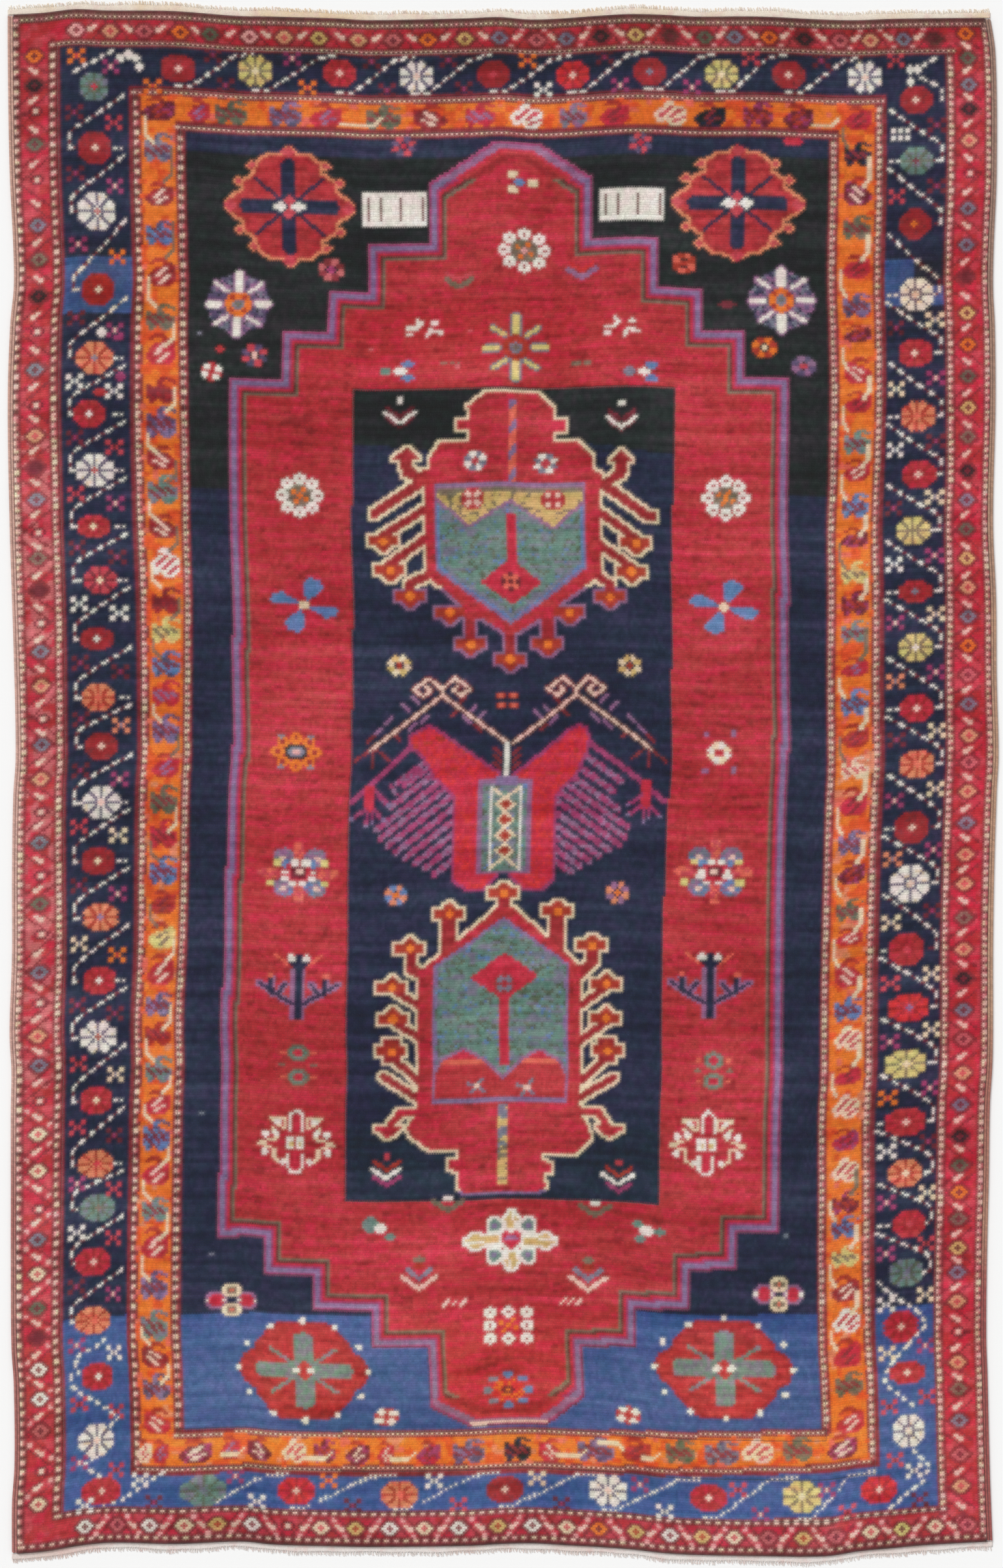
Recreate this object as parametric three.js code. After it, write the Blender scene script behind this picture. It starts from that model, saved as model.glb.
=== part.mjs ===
// A hand-knotted wool rug lying flat, with wrapped side cords and cut warp ends.
// Millimetres, +Z up, +Y towards the far end, origin on the floor under the middle.
import * as THREE from 'three';

// Mean lines of the rug: the outer sides of the side cords and the two ends of the pile
const LEFT_LINE = -807;
const RIGHT_LINE = 805;
const FAR_LINE = 1258;
const NEAR_LINE = -1254;

// How far the sides wander from their mean lines, towards +X, at a place along Y
const SIDE_COLUMNS = { at: 0, left: 1, right: 2 };
const SIDE_DRIFT = [
  [-1270, 1, 0],
  [-1174, 1, -4],
  [-1110, 5, -6],
  [-981, 4, -9],
  [-917, 0, -11],
  [-789, -1, -10],
  [-661, -1, -7],
  [-532, -1, -5],
  [-468, 0, -1],
  [-404, -3, 0],
  [-276, 1, 0],
  [-148, 1, 2],
  [-19, 3, 6],
  [45, 7, 9],
  [173, 5, 6],
  [301, 1, 5],
  [430, -3, 0],
  [622, -6, 4],
  [750, -2, 3],
  [815, 4, 0],
  [879, 3, 1],
  [1007, -3, 6],
  [1199, -6, 4],
  [1274, -6, -7],
];

// How far the ends of the pile wander from their mean lines, towards +Y, at a place along X
const END_COLUMNS = { at: 0, far: 1, near: 2 };
const END_DRIFT = [
  [-804, 3, -12],
  [-750, 6, -7],
  [-697, 12, 2],
  [-644, 10, 7],
  [-537, 9, 5],
  [-430, 1, 9],
  [-376, 0, 4],
  [-269, -3, 1],
  [-216, -6, 0],
  [-56, -3, 2],
  [-2, -1, 5],
  [51, -5, 6],
  [105, -3, 3],
  [158, 1, 0],
  [212, 4, -4],
  [265, 3, -10],
  [319, 0, -13],
  [425, 0, -15],
  [532, -5, -15],
  [586, -6, -7],
  [639, -4, -2],
  [693, -3, 3],
  [800, -2, 9],
];

// Pile: the knotted cloth
const PILE_HEIGHT = 8;
const RIM_HEIGHT = 5.5;
const RIM_WIDTH = 5;
const SWELL = 0.45;
const SWELL_PITCH = 310;
const PATCHES_ACROSS = 32;
const PATCHES_ALONG = 44;

// Side cords: two bundles of warps wrapped together, figure-of-eight
const CORD_WIDTH = 4.6;
const CORD_HEIGHT = 5;
const CORDS = 2;
const CORD_STEPS = 5;
const CORD_VALLEY = 0.62;
const CORD_FOOT = 0.8;

// Ends: a narrow flat-woven web with cut warp ends beyond it
const WEB_DEPTH = 9;
const WEB_THICKNESS = 2;
const LOCKS = 120;
const LOCK_LENGTH = 5;
const LOCK_LENGTH_SPREAD = 1.6;
const LOCK_ROOT = 7.5;
const LOCK_TIP = 3;
const LOCK_LEAN = 1.6;

// Clearance between one piece and the next
const GAP = 0.3;

const SELVEDGE_WIDTH = CORD_WIDTH * CORDS;

const FINISH = {
  pile: { color: 0x9c2f3a, roughness: 0.95 },
  cords: { color: 0x8a5f5a, roughness: 0.9 },
  web: { color: 0xd8c8b4, roughness: 0.92 },
};

function material(finish) {
  return new THREE.MeshStandardMaterial({ ...finish, metalness: 0 });
}

// Slope of a drift table at one of its rows, from the rows beside it
function slopeAt(table, row, at, column) {
  const before = table[Math.max(row - 1, 0)];
  const after = table[Math.min(row + 1, table.length - 1)];
  return (after[column] - before[column]) / (after[at] - before[at]);
}

// Smooth value of a drift table at a place between its rows
function drift(table, at, column, place) {
  const first = table[0][at];
  const last = table[table.length - 1][at];
  const here = Math.min(Math.max(place, first), last);
  let row = 0;
  while (row < table.length - 2 && table[row + 1][at] < here) row += 1;
  const a = table[row];
  const b = table[row + 1];
  const span = b[at] - a[at];
  const t = (here - a[at]) / span;
  const rise = slopeAt(table, row, at, column) * span;
  const fall = slopeAt(table, row + 1, at, column) * span;
  const t2 = t * t;
  const t3 = t2 * t;
  const from = a[column] * (2 * t3 - 3 * t2 + 1) + rise * (t3 - 2 * t2 + t);
  const to = b[column] * (3 * t2 - 2 * t3) + fall * (t3 - t2);
  return from + to;
}

const leftSide = (y) => LEFT_LINE + drift(SIDE_DRIFT, SIDE_COLUMNS.at, SIDE_COLUMNS.left, y);
const rightSide = (y) => RIGHT_LINE + drift(SIDE_DRIFT, SIDE_COLUMNS.at, SIDE_COLUMNS.right, y);
const farEnd = (x) => FAR_LINE + drift(END_DRIFT, END_COLUMNS.at, END_COLUMNS.far, x);
const nearEnd = (x) => NEAR_LINE + drift(END_DRIFT, END_COLUMNS.at, END_COLUMNS.near, x);

// A place in the pile: u runs from the left cords to the right, v from the near end to the far
function place(u, v) {
  const { lerp } = THREE.MathUtils;
  const inset = SELVEDGE_WIDTH + GAP;
  const straightX = lerp(LEFT_LINE + inset, RIGHT_LINE - inset, u);
  const straightY = lerp(NEAR_LINE, FAR_LINE, v);
  const x = lerp(leftSide(straightY) + inset, rightSide(straightY) - inset, u);
  const y = lerp(nearEnd(straightX), farEnd(straightX), v);
  return [x, y];
}

// The same list of numbers each time, each from 0 to 1
function shuffled(seed) {
  let state = seed;
  return () => {
    state = (state * 16807) % 2147483647;
    return state / 2147483647;
  };
}

// Parts of 0 to 1 with a narrow first and last part for the rim
function stations(count, rim) {
  const inner = Array.from({ length: count - 1 }, (_, i) => rim + ((1 - 2 * rim) * i) / (count - 2));
  return [0, ...inner, 1];
}

const ACROSS = stations(PATCHES_ACROSS, RIM_WIDTH / (RIGHT_LINE - LEFT_LINE));
const ALONG = stations(PATCHES_ALONG, RIM_WIDTH / (FAR_LINE - NEAR_LINE));

function indexedGeometry(points, faces) {
  const geometry = new THREE.BufferGeometry();
  geometry.setAttribute('position', new THREE.Float32BufferAttribute(points.flat(), 3));
  geometry.setIndex(faces.flat());
  geometry.computeVertexNormals();
  return geometry;
}

// The pile's height at a place, lower at the rim and gently uneven inside it
function pileHeight(x, y, atRim) {
  if (atRim) return RIM_HEIGHT;
  const wave = (2 * Math.PI) / SWELL_PITCH;
  return PILE_HEIGHT + SWELL * Math.sin(wave * x + 1) * Math.sin(wave * 0.7 * y);
}

// The pile's rim, anticlockwise from its near left corner, as [column, row] in its grid
function rimLoop(across, along) {
  const loop = [];
  for (let i = 0; i < across - 1; i += 1) loop.push([i, 0]);
  for (let j = 0; j < along - 1; j += 1) loop.push([across - 1, j]);
  for (let i = across - 1; i > 0; i -= 1) loop.push([i, along - 1]);
  for (let j = along - 1; j > 0; j -= 1) loop.push([0, j]);
  return loop;
}

function pileGeometry() {
  const across = ACROSS.length;
  const along = ALONG.length;
  const points = [];
  const faces = [];
  for (let j = 0; j < along; j += 1) {
    for (let i = 0; i < across; i += 1) {
      const [x, y] = place(ACROSS[i], ALONG[j]);
      const atRim = i === 0 || j === 0 || i === across - 1 || j === along - 1;
      points.push([x, y, pileHeight(x, y, atRim)]);
    }
  }
  for (let j = 0; j + 1 < along; j += 1) {
    for (let i = 0; i + 1 < across; i += 1) {
      const a = j * across + i;
      const c = a + 1 + across;
      faces.push([a, a + 1, c], [a, c, a + across]);
    }
  }
  const foot = points.length;
  const loop = rimLoop(across, along);
  const outline = loop.map(([i, j]) => new THREE.Vector2(...place(ACROSS[i], ALONG[j])));
  outline.forEach(({ x, y }) => points.push([x, y, 0]));
  loop.forEach(([i, j], k) => {
    const next = (k + 1) % loop.length;
    const a = j * across + i;
    const b = loop[next][1] * across + loop[next][0];
    faces.push([a, foot + k, foot + next], [a, foot + next, b]);
  });
  for (const [a, b, c] of THREE.ShapeUtils.triangulateShape(outline, [])) {
    faces.push([foot + a, foot + c, foot + b]);
  }
  return indexedGeometry(points, faces);
}

// Section of the side cords: offsets from the outer side, and heights
function cordSection() {
  const section = [];
  for (let cord = 0; cord < CORDS; cord += 1) {
    for (let step = 0; step <= CORD_STEPS; step += 1) {
      const turn = (Math.PI * step) / CORD_STEPS;
      const across = CORD_WIDTH * (cord + 0.5 - 0.5 * Math.cos(turn));
      const inValley = cord < CORDS - 1 && step === CORD_STEPS;
      const height = inValley ? CORD_HEIGHT * CORD_VALLEY : CORD_HEIGHT * (0.5 + 0.5 * Math.sin(turn));
      const shared = cord > 0 && step === 0;
      if (!shared) section.push([across, height]);
    }
  }
  section.push([SELVEDGE_WIDTH - CORD_FOOT, 0]);
  section.push([CORD_FOOT, 0]);
  return section.reverse();
}

// Side cords along one edge; side is -1 for the left and 1 for the right
function selvedgeGeometry(side) {
  const section = cordSection();
  const ring = section.length;
  const points = [];
  for (const v of ALONG) {
    const [pileEdge, y] = place(side < 0 ? 0 : 1, v);
    const outside = pileEdge + side * (SELVEDGE_WIDTH + GAP);
    for (const [across, height] of section) {
      points.push([outside - side * across, y, height]);
    }
  }
  const faces = [];
  for (let k = 0; k + 1 < ALONG.length; k += 1) {
    for (let i = 0; i < ring; i += 1) {
      const a = k * ring + i;
      const b = k * ring + ((i + 1) % ring);
      faces.push([a, b + ring, b], [a, a + ring, b + ring]);
    }
  }
  const outline = section.map(([across, height]) => new THREE.Vector2(across, height));
  const last = (ALONG.length - 1) * ring;
  for (const [a, b, c] of THREE.ShapeUtils.triangulateShape(outline, [])) {
    faces.push([a, b, c], [a + last, c + last, b + last]);
  }
  return indexedGeometry(points, outwards(points, faces));
}

// Faces turned round as a whole where they enclose a negative volume
function outwards(points, faces) {
  const volume = faces.reduce((sum, [a, b, c]) => {
    const [p, q, r] = [a, b, c].map((i) => new THREE.Vector3(...points[i]));
    return sum + p.dot(q.cross(r));
  }, 0);
  return volume > 0 ? faces : faces.map(([a, b, c]) => [a, c, b]);
}

// Web and cut warp ends at one end; side is 1 for the far end and -1 for the near
function endGeometry(side) {
  const random = shuffled(side > 0 ? 41 : 97);
  const edge = side > 0 ? farEnd : nearEnd;
  const v = side > 0 ? 1 : 0;
  const straightY = side > 0 ? FAR_LINE : NEAR_LINE;
  const from = leftSide(straightY);
  const to = rightSide(straightY);
  const outline = [];
  const add = (x, y) => outline.push(new THREE.Vector2(x, y));
  const addBeyond = (x, depth) => add(x, edge(x) + side * depth);
  const seam = ACROSS.map((u) => place(u, v)).reverse();
  add(to, seam[0][1] + side * GAP);
  seam.forEach(([x, y]) => add(x, y + side * GAP));
  add(from, seam[seam.length - 1][1] + side * GAP);
  addBeyond(from, WEB_DEPTH);
  const pitch = (to - from) / LOCKS;
  for (let k = 0; k < LOCKS; k += 1) {
    const middle = from + pitch * (k + 0.5);
    const reach = WEB_DEPTH + LOCK_LENGTH + LOCK_LENGTH_SPREAD * (2 * random() - 1);
    const tip = middle + LOCK_LEAN * (2 * random() - 1);
    addBeyond(middle - LOCK_ROOT / 2, WEB_DEPTH);
    addBeyond(tip - LOCK_TIP / 2, reach);
    addBeyond(tip + LOCK_TIP / 2, reach);
    addBeyond(middle + LOCK_ROOT / 2, WEB_DEPTH);
  }
  addBeyond(to, WEB_DEPTH);
  return new THREE.ExtrudeGeometry(new THREE.Shape(outline), {
    depth: WEB_THICKNESS,
    bevelEnabled: false,
  });
}

function piece(name, geometry, finish) {
  const mesh = new THREE.Mesh(geometry, material(finish));
  mesh.name = name;
  return mesh;
}

const rug = new THREE.Group();
rug.add(piece('rug_pile', pileGeometry(), FINISH.pile));
rug.add(piece('side_cords_left', selvedgeGeometry(-1), FINISH.cords));
rug.add(piece('side_cords_right', selvedgeGeometry(1), FINISH.cords));
rug.add(piece('end_web_far', endGeometry(1), FINISH.web));
rug.add(piece('end_web_near', endGeometry(-1), FINISH.web));

export default rug;
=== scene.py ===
# A hand-knotted kazak rug lying flat. Metres, Z up, Y towards the far end, X to the right.
import math

import bpy
import numpy as np
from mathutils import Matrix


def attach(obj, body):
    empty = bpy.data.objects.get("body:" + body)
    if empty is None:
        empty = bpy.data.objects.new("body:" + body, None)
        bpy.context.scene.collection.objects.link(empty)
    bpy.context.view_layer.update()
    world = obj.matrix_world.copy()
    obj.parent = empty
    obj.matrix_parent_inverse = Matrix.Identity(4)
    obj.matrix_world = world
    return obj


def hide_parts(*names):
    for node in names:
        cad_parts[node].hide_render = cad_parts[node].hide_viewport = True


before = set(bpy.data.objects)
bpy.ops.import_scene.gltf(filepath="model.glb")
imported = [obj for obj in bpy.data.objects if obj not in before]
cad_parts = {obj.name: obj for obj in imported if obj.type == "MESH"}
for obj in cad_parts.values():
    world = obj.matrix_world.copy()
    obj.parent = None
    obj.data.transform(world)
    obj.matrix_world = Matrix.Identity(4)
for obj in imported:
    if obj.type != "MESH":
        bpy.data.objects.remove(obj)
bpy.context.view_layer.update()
shuffle = np.random.default_rng(4332)

def read_row(text):
    """The numbers and words of a row of text. A word's underscores stand for spaces."""
    found = []
    for word in text.split():
        if word.lstrip("-")[0].isdigit():
            found.append(float(word) if "." in word else int(word))
        else:
            found.append(word.replace("_", " "))
    return found


def read_rows(text):
    return [read_row(row) for row in text.strip().splitlines()]


def path(text):
    """Places across and along the chart, from their numbers in turn."""
    numbers = read_row(text)
    return list(zip(numbers[::2], numbers[1::2]))


# Wool as dyed, in the red, green and blue of a colour chart from 0 to 255
DYES = {yarn: tuple(dye) for yarn, *dye in read_rows("""
madder 185 46 51
deep_madder 160 34 40
crimson 200 38 62
scarlet 214 44 46
rose 200 66 78
dusty_rose 202 100 104
pink 238 168 164
bead 242 198 182
blush 218 158 120
salmon 230 104 84
apricot 226 136 98
orange 238 118 34
flame 226 84 30
rust 172 50 32
wine 134 40 48
maroon 112 30 44
brown 98 46 42
umber 106 48 46
magenta 162 56 104
mauve 150 104 140
lilac 134 110 150
plum 88 76 108
night 22 27 29
navy 27 34 63
marine 22 36 58
blue 58 88 148
sky 98 130 178
slate 122 122 138
teal 106 136 126
moss 92 100 80
olive 124 106 88
camel 214 178 112
yellow 224 204 128
cream 238 212 178
ivory 242 230 220
""")}
YARNS = list(DYES)

# The chart has one place for each knot: columns from the left, rows from the far end
KNOTS_ACROSS = 394
KNOTS_ALONG = 628
COLUMNS, ROWS = np.meshgrid(np.arange(KNOTS_ACROSS) + 0.5, np.arange(KNOTS_ALONG) + 0.5)
chart = np.zeros((KNOTS_ALONG, KNOTS_ACROSS), int)


def dye(yarn, chosen):
    """Tie the chosen knots in one yarn."""
    chart[chosen] = YARNS.index(yarn)


def part_of_chart(left, top, right, bottom):
    """The rows and columns around a box, as slices of the chart."""
    rows = slice(max(math.floor(top), 0), max(math.ceil(bottom) + 1, 0))
    columns = slice(max(math.floor(left), 0), max(math.ceil(right) + 1, 0))
    return rows, columns


def choose(part, test):
    """Knots of the whole chart, chosen by a test on the columns and rows of one part."""
    chosen = np.zeros(chart.shape, bool)
    chosen[part] = test(COLUMNS[part], ROWS[part])
    return chosen


def box(left, top, right, bottom):
    def test(columns, rows):
        return (columns >= left) & (columns < right) & (rows >= top) & (rows < bottom)

    return choose(part_of_chart(left, top, right, bottom), test)


def oval(column, row, half_width, half_height):
    def test(columns, rows):
        return ((columns - column) / half_width) ** 2 + ((rows - row) / half_height) ** 2 < 1

    part = part_of_chart(column - half_width, row - half_height, column + half_width, row + half_height)
    return choose(part, test)


def shape(corners):
    """Knots inside straight sides from corner to corner."""
    def test(columns, rows):
        inside = np.zeros(columns.shape, bool)
        for (c0, r0), (c1, r1) in zip(corners, corners[1:] + corners[:1]):
            if r0 == r1:
                continue
            crossed = (r0 > rows) != (r1 > rows)
            inside ^= crossed & (columns < c0 + (c1 - c0) * (rows - r0) / (r1 - r0))
        return inside

    across = [corner[0] for corner in corners]
    along = [corner[1] for corner in corners]
    return choose(part_of_chart(min(across), min(along), max(across), max(along)), test)


def line(places, width=1.3, on=0.0, off=0.0):
    """Knots along straight runs from place to place, broken into dashes where on is above 0."""
    chosen = np.zeros(chart.shape, bool)
    done = 0.0
    for (c0, r0), (c1, r1) in zip(places, places[1:]):
        length = math.hypot(c1 - c0, r1 - r0)
        if length == 0:
            continue

        def test(columns, rows):
            along = ((columns - c0) * (c1 - c0) + (rows - r0) * (r1 - r0)) / length
            along = np.clip(along, 0, length)
            aside = np.hypot(
                columns - c0 - along * (c1 - c0) / length,
                rows - r0 - along * (r1 - r0) / length,
            )
            near = aside <= width / 2
            if on > 0:
                near &= (done + along) % (on + off) < on
            return near

        part = part_of_chart(min(c0, c1) - width, min(r0, r1) - width,
                             max(c0, c1) + width, max(r0, r1) + width)
        chosen |= choose(part, test)
        done += length
    return chosen


def grow(chosen, knots=1):
    """The chosen knots and those beside them."""
    for _ in range(knots):
        wider = chosen.copy()
        wider[1:] |= chosen[:-1]
        wider[:-1] |= chosen[1:]
        tall = wider.copy()
        wider[:, 1:] |= tall[:, :-1]
        wider[:, :-1] |= tall[:, 1:]
        chosen = wider
    return chosen


def shrink(chosen, knots=1):
    return ~grow(~chosen, knots)


def rimmed(yarn, chosen, rim):
    """A shape in one yarn with a line of another round it."""
    dye(rim, grow(chosen))
    dye(yarn, chosen)


def stamped(column, row, letters, flipped=False, wide=None, high=None):
    """Knots of a small repeat from its own lettered chart, by letter, with its middle at a place."""
    drawn_wide = len(letters[0])
    wide = wide or drawn_wide
    high = high or len(letters)
    left = round(column - wide / 2)
    top = round(row - high / 2)
    found = {}
    for step in range(high):
        letters_here = letters[int((step + 0.5) * len(letters) / high)][::-1 if flipped else 1]
        for place in range(wide):
            letter = letters_here[int((place + 0.5) * drawn_wide / wide)]
            if letter != ".":
                found.setdefault(letter, np.zeros(chart.shape, bool))[top + step, left + place] = True
    return found


def any_of(found):
    return np.logical_or.reduce(list(found.values()))


def stamp(column, row, letters, yarns, halo=None, **turned):
    """Tie a small repeat, in a yarn for each letter, with a line of another yarn round it if wanted."""
    found = stamped(column, row, letters, **turned)
    if halo:
        dye(halo, grow(any_of(found)))
    for letter, chosen in found.items():
        if letter in yarns:
            dye(yarns[letter], chosen)


def clouds(wide, high, seed):
    """Seeded patches over the whole chart, about so many knots wide and high, even from 0 to 1."""
    coarse = np.random.default_rng(seed).random((int(KNOTS_ALONG / high) + 3, int(KNOTS_ACROSS / wide) + 3))
    c = COLUMNS / wide
    r = ROWS / high
    c0 = c.astype(int)
    r0 = r.astype(int)
    soft_c = (c - c0) ** 2 * (3 - 2 * (c - c0))
    soft_r = (r - r0) ** 2 * (3 - 2 * (r - r0))
    far = coarse[r0, c0] * (1 - soft_c) + coarse[r0, c0 + 1] * soft_c
    near = coarse[r0 + 1, c0] * (1 - soft_c) + coarse[r0 + 1, c0 + 1] * soft_c
    value = far * (1 - soft_r) + near * soft_r
    order = np.argsort(value, axis=None)
    even = np.empty(value.size)
    even[order] = np.arange(value.size) / value.size
    return even.reshape(value.shape)


SPECKS = clouds(1.3, 1.1, 11)
STREAKS = clouds(5, 1.2, 12)
BLOTS = clouds(4, 3, 13)


def mottle(yarn, chosen, share, grain=SPECKS, turn=0):
    """Tie a share of the chosen knots in another yarn, in small patches."""
    dye(yarn, chosen & (np.roll(grain, (turn * 7, turn * 5), axis=(0, 1)) < share))


# Small repeats, charted knot by knot

CROSS = """
xx...xx
xx...xx
..xox..
..xox..
xx...xx
xx...xx
""".split()
BLOSSOM = """
..xxx..
.xxhxx.
xxhhhxx
.xxhxx.
..xxx..
""".split()
EYE = """
.hhhh.
h.xx.h
h.xx.h
.hhhh.
""".split()
DASH = """
xx..
.xxx
..xx
""".split()
HOOKED_LEAF = """
.....xxxx..
....xxx.xxx
....xx....x
xx..xxx....
xxvvxxxxx..
xxxvvxvvxxx
vvxxvvxvvxx
xvvxxvvxvvx
xxvvxxvxxxx
xxxvvxxxxxx
.xxx.xxxxx.
.xx...xxx..
""".split()
BARRED_LEAF = """
...rrrr....
..rrrrrr...
.rr...rrxx.
......xxxxx
...xxxbbxxx
..xxxbbxxxx
.xxxbbxxxxx
xxxbbxxbbxx
xxxxxxbbxxx
xxxxxbbxxxx
.xxxbbxxxx.
..xxxxxxx..
""".split()
STRIPED_LEAF = """
....xxx....
...xxxx....
.....xxx...
...xxvvxxx.
..xxvvxxvvx
.xxvvxxvvxx
xxvvxxvvxxx
xxvxxvvxxvv
xxxxvvxxvvx
.xxxxxxvvxx
.xx.xxvvxx.
.....xxxx..
""".split()
# Rosettes of the blue border: middle column and row, half width, half height, petals, eye
ROSETTES = read_rows("""
32.5 31.5 6 6 teal crimson
32 56 7 6.5 deep_madder bead
32 82.5 7.6 8 ivory dusty_rose
32 114.5 7 7 deep_madder ivory
32.5 142 7.4 6.6 apricot slate
30 165 7 5.5 madder ivory
32.5 188 7.6 6.8 ivory madder
31.5 211 7 5 madder cream
33 233 6.5 6 rose cream
31 257.5 7 5 deep_madder ivory
31 281 6.8 5.5 apricot salmon
32 301.5 6.8 5.5 deep_madder bead
33 324 7.5 6.5 ivory bead
32.5 348 7 6 deep_madder cream
33 371.5 7.2 6 apricot lilac
33 397 6.8 6 madder ivory
33 420.5 8 6.2 ivory rust
32.5 446 6.8 6 madder cream
32.5 472 8 5.5 apricot crimson
33 490.5 7.5 5.5 teal olive
31.5 512.5 7.5 6 crimson bead
31 536 8 5.5 apricot salmon
32 559 6.8 6 madder ivory
31.5 585 7.4 6.4 ivory bead
34.5 606.5 9 5.5 madder bead
363 33.5 6.5 5.5 deep_madder bead
363.5 58 6.4 6 teal maroon
363.5 84.5 6.4 6.5 deep_madder orange
364.5 113 6.8 7 ivory bead
363.5 137.5 6.8 6 madder bead
364.5 163 7 6.2 apricot salmon
365 187.5 6.4 6 crimson bead
363.5 210.5 6.4 6 yellow olive
363.5 235 6.5 4.8 madder slate
363.5 258.5 6.4 6 yellow ivory
363 283 6.6 6 crimson bead
363 306.5 6.8 6 apricot salmon
362.5 332 7 6.5 deep_madder bead
362.5 355.5 7.5 7.4 ivory bead
361.5 382 7 7 madder rose
362.5 406.5 8 6 scarlet lilac
361.5 429.5 8 6 yellow cream
362 453 8 6 madder bead
362.5 474.5 7 5.5 apricot cream
364 495 7 5.4 madder rose
363 515.5 7 6 teal slate
361 537.5 7.2 6.5 crimson bead
363 556.5 8 5 madder bead
363 580.5 7 7 ivory bead
66.5 23.5 7 6 deep_madder bead
97.5 22.5 7 6.2 yellow cream
131.5 22.5 7 5.6 madder bead
162 23 7 6.2 ivory bead
193.5 23 6.6 5.6 deep_madder rose
225 23 6.6 6 scarlet bead
256 23.5 6.6 5.6 deep_madder slate
285 23 6.6 6 yellow cream
312.5 23.5 6.6 5.6 deep_madder bead
342.5 23 7 6.2 ivory bead
76 606 8.4 6.5 teal slate
113 605.5 7.5 6 scarlet bead
155 606 7.6 6 apricot salmon
198 605.5 8 5.6 deep_madder bead
240 604.5 8 6.2 ivory bead
281 604.5 7.6 5.6 madder bead
319.5 603 8 6.4 yellow cream
350.5 603.5 7.4 6 scarlet bead
""")
# The thin seams between petals, which darken each yarn
SEAMS = {
    "ivory": "plum",
    "yellow": "olive",
    "teal": "moss",
    "apricot": "rust",
    "rose": "maroon",
}

# Crosses beside the stems of the blue border: side, line that they keep to, how far along each gap between
# rosettes, and a letter for the yarn in each gap
CROSS_YARNS = {
    "m": "maroon", "g": "magenta", "r": "rose", "o": "orange", "a": "apricot", "c": "cream", "i": "ivory",
}
CROSSES = [
    ("left", 24.5, 0.42, "mmgmimrmimmmrmcmrrgimgrg"),
    ("left", 40.5, 0.59, "rgogirgmimagcgomcmrrgirr"),
    ("right", 371, 0.43, "mm.cgmcgcgccgmccgmcrcgr"),
    ("right", 356, 0.57, ".r.mcimigamgacrgoiggicr"),
    ("far", 17.5, 0.44, "mgmmom.rm"),
    ("far", 28.5, 0.62, "mommigg.."),
    ("near", 601, 0.33, "goicgrg"),
    ("near", 610.5, 0.57, "imrmigr"),
]
LONE_CROSSES = [
    (25, 19, "o"), (39.5, 23.5, "g"), (56.5, 30.5, "o"), (355, 17, "r"), (365, 597.5, "i"), (368, 609, "m"),
    (357, 592, "r"), (27, 612, "i"), (51, 602, "i"), (58, 611, "m"),
]

# Yarns that have faded in the red border, but for its near end and the near half of its left side
FADED = {"cream": "blush", "yellow": "camel", "ivory": "pink"}

# The middles of crosses, which are slate in the other yarns
CROSS_EYES = {"maroon": "magenta", "magenta": "bead", "rose": "maroon", "orange": "crimson"}

# Red border: middle line of each side, lean of its first dash, and places of its flowers by yarn, down the
# sides and across the ends. A dash lies between each flower and the next.
RED_BORDER = {
    "left": (8.5, 1, """
eye 40.5 68.5 130.5 159.5 211.5 249 287.5 326 352 376.5 404 444 487.5 595
orange 17.5
night 29.5 115.5
slate 86 145.5 198 261 298.5 338 391.5 429.5 500
moss 53.5 363.5 528
olive 101 223
cream 172 274.5 312 417.5 457.5 472 514 609
ivory 553.5 565.5
dusty_rose 579
maroon 185.5 235.5 541
"""),
    "right": (384.5, 1, """
eye 64 541
orange 6.5 134.5 258 483.5
moss 16.5 147.5 211 472
slate 27.5 78.5 93.5 198.5 247 283 331.5 408.5 447.5 516.5 577.5
night 37.5 187 395.5 460
maroon 107
yellow 121.5 161 223 506
olive 173 370 494.5 564.5
cream 50.5 235 295.5 318.5 344 356.5 383.5 434 529 553.5 605
dusty_rose 270 306.5 421 591.5 619.5
"""),
    "far": (8, -1, """
ivory 25 95
cream 40 109.5 139.5 346
dusty_rose 54 154 211 333.5
orange 67 168 305.5
moss 80 279.5
yellow 124 182.5 251.5
slate 196.5 224 292 359.5
night 238 319
brown 265 372
"""),
    "near": (620.5, -1, """
eye 110
ivory 27 55 96 152 180 209 265.5
dusty_rose 41.5 305.5 332.5 386.5
cream 69 124 166 223 292 346.5 373
camel 82 138 195 251 278.5 319.5
orange 236.5
yellow 360
"""),
}

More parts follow.
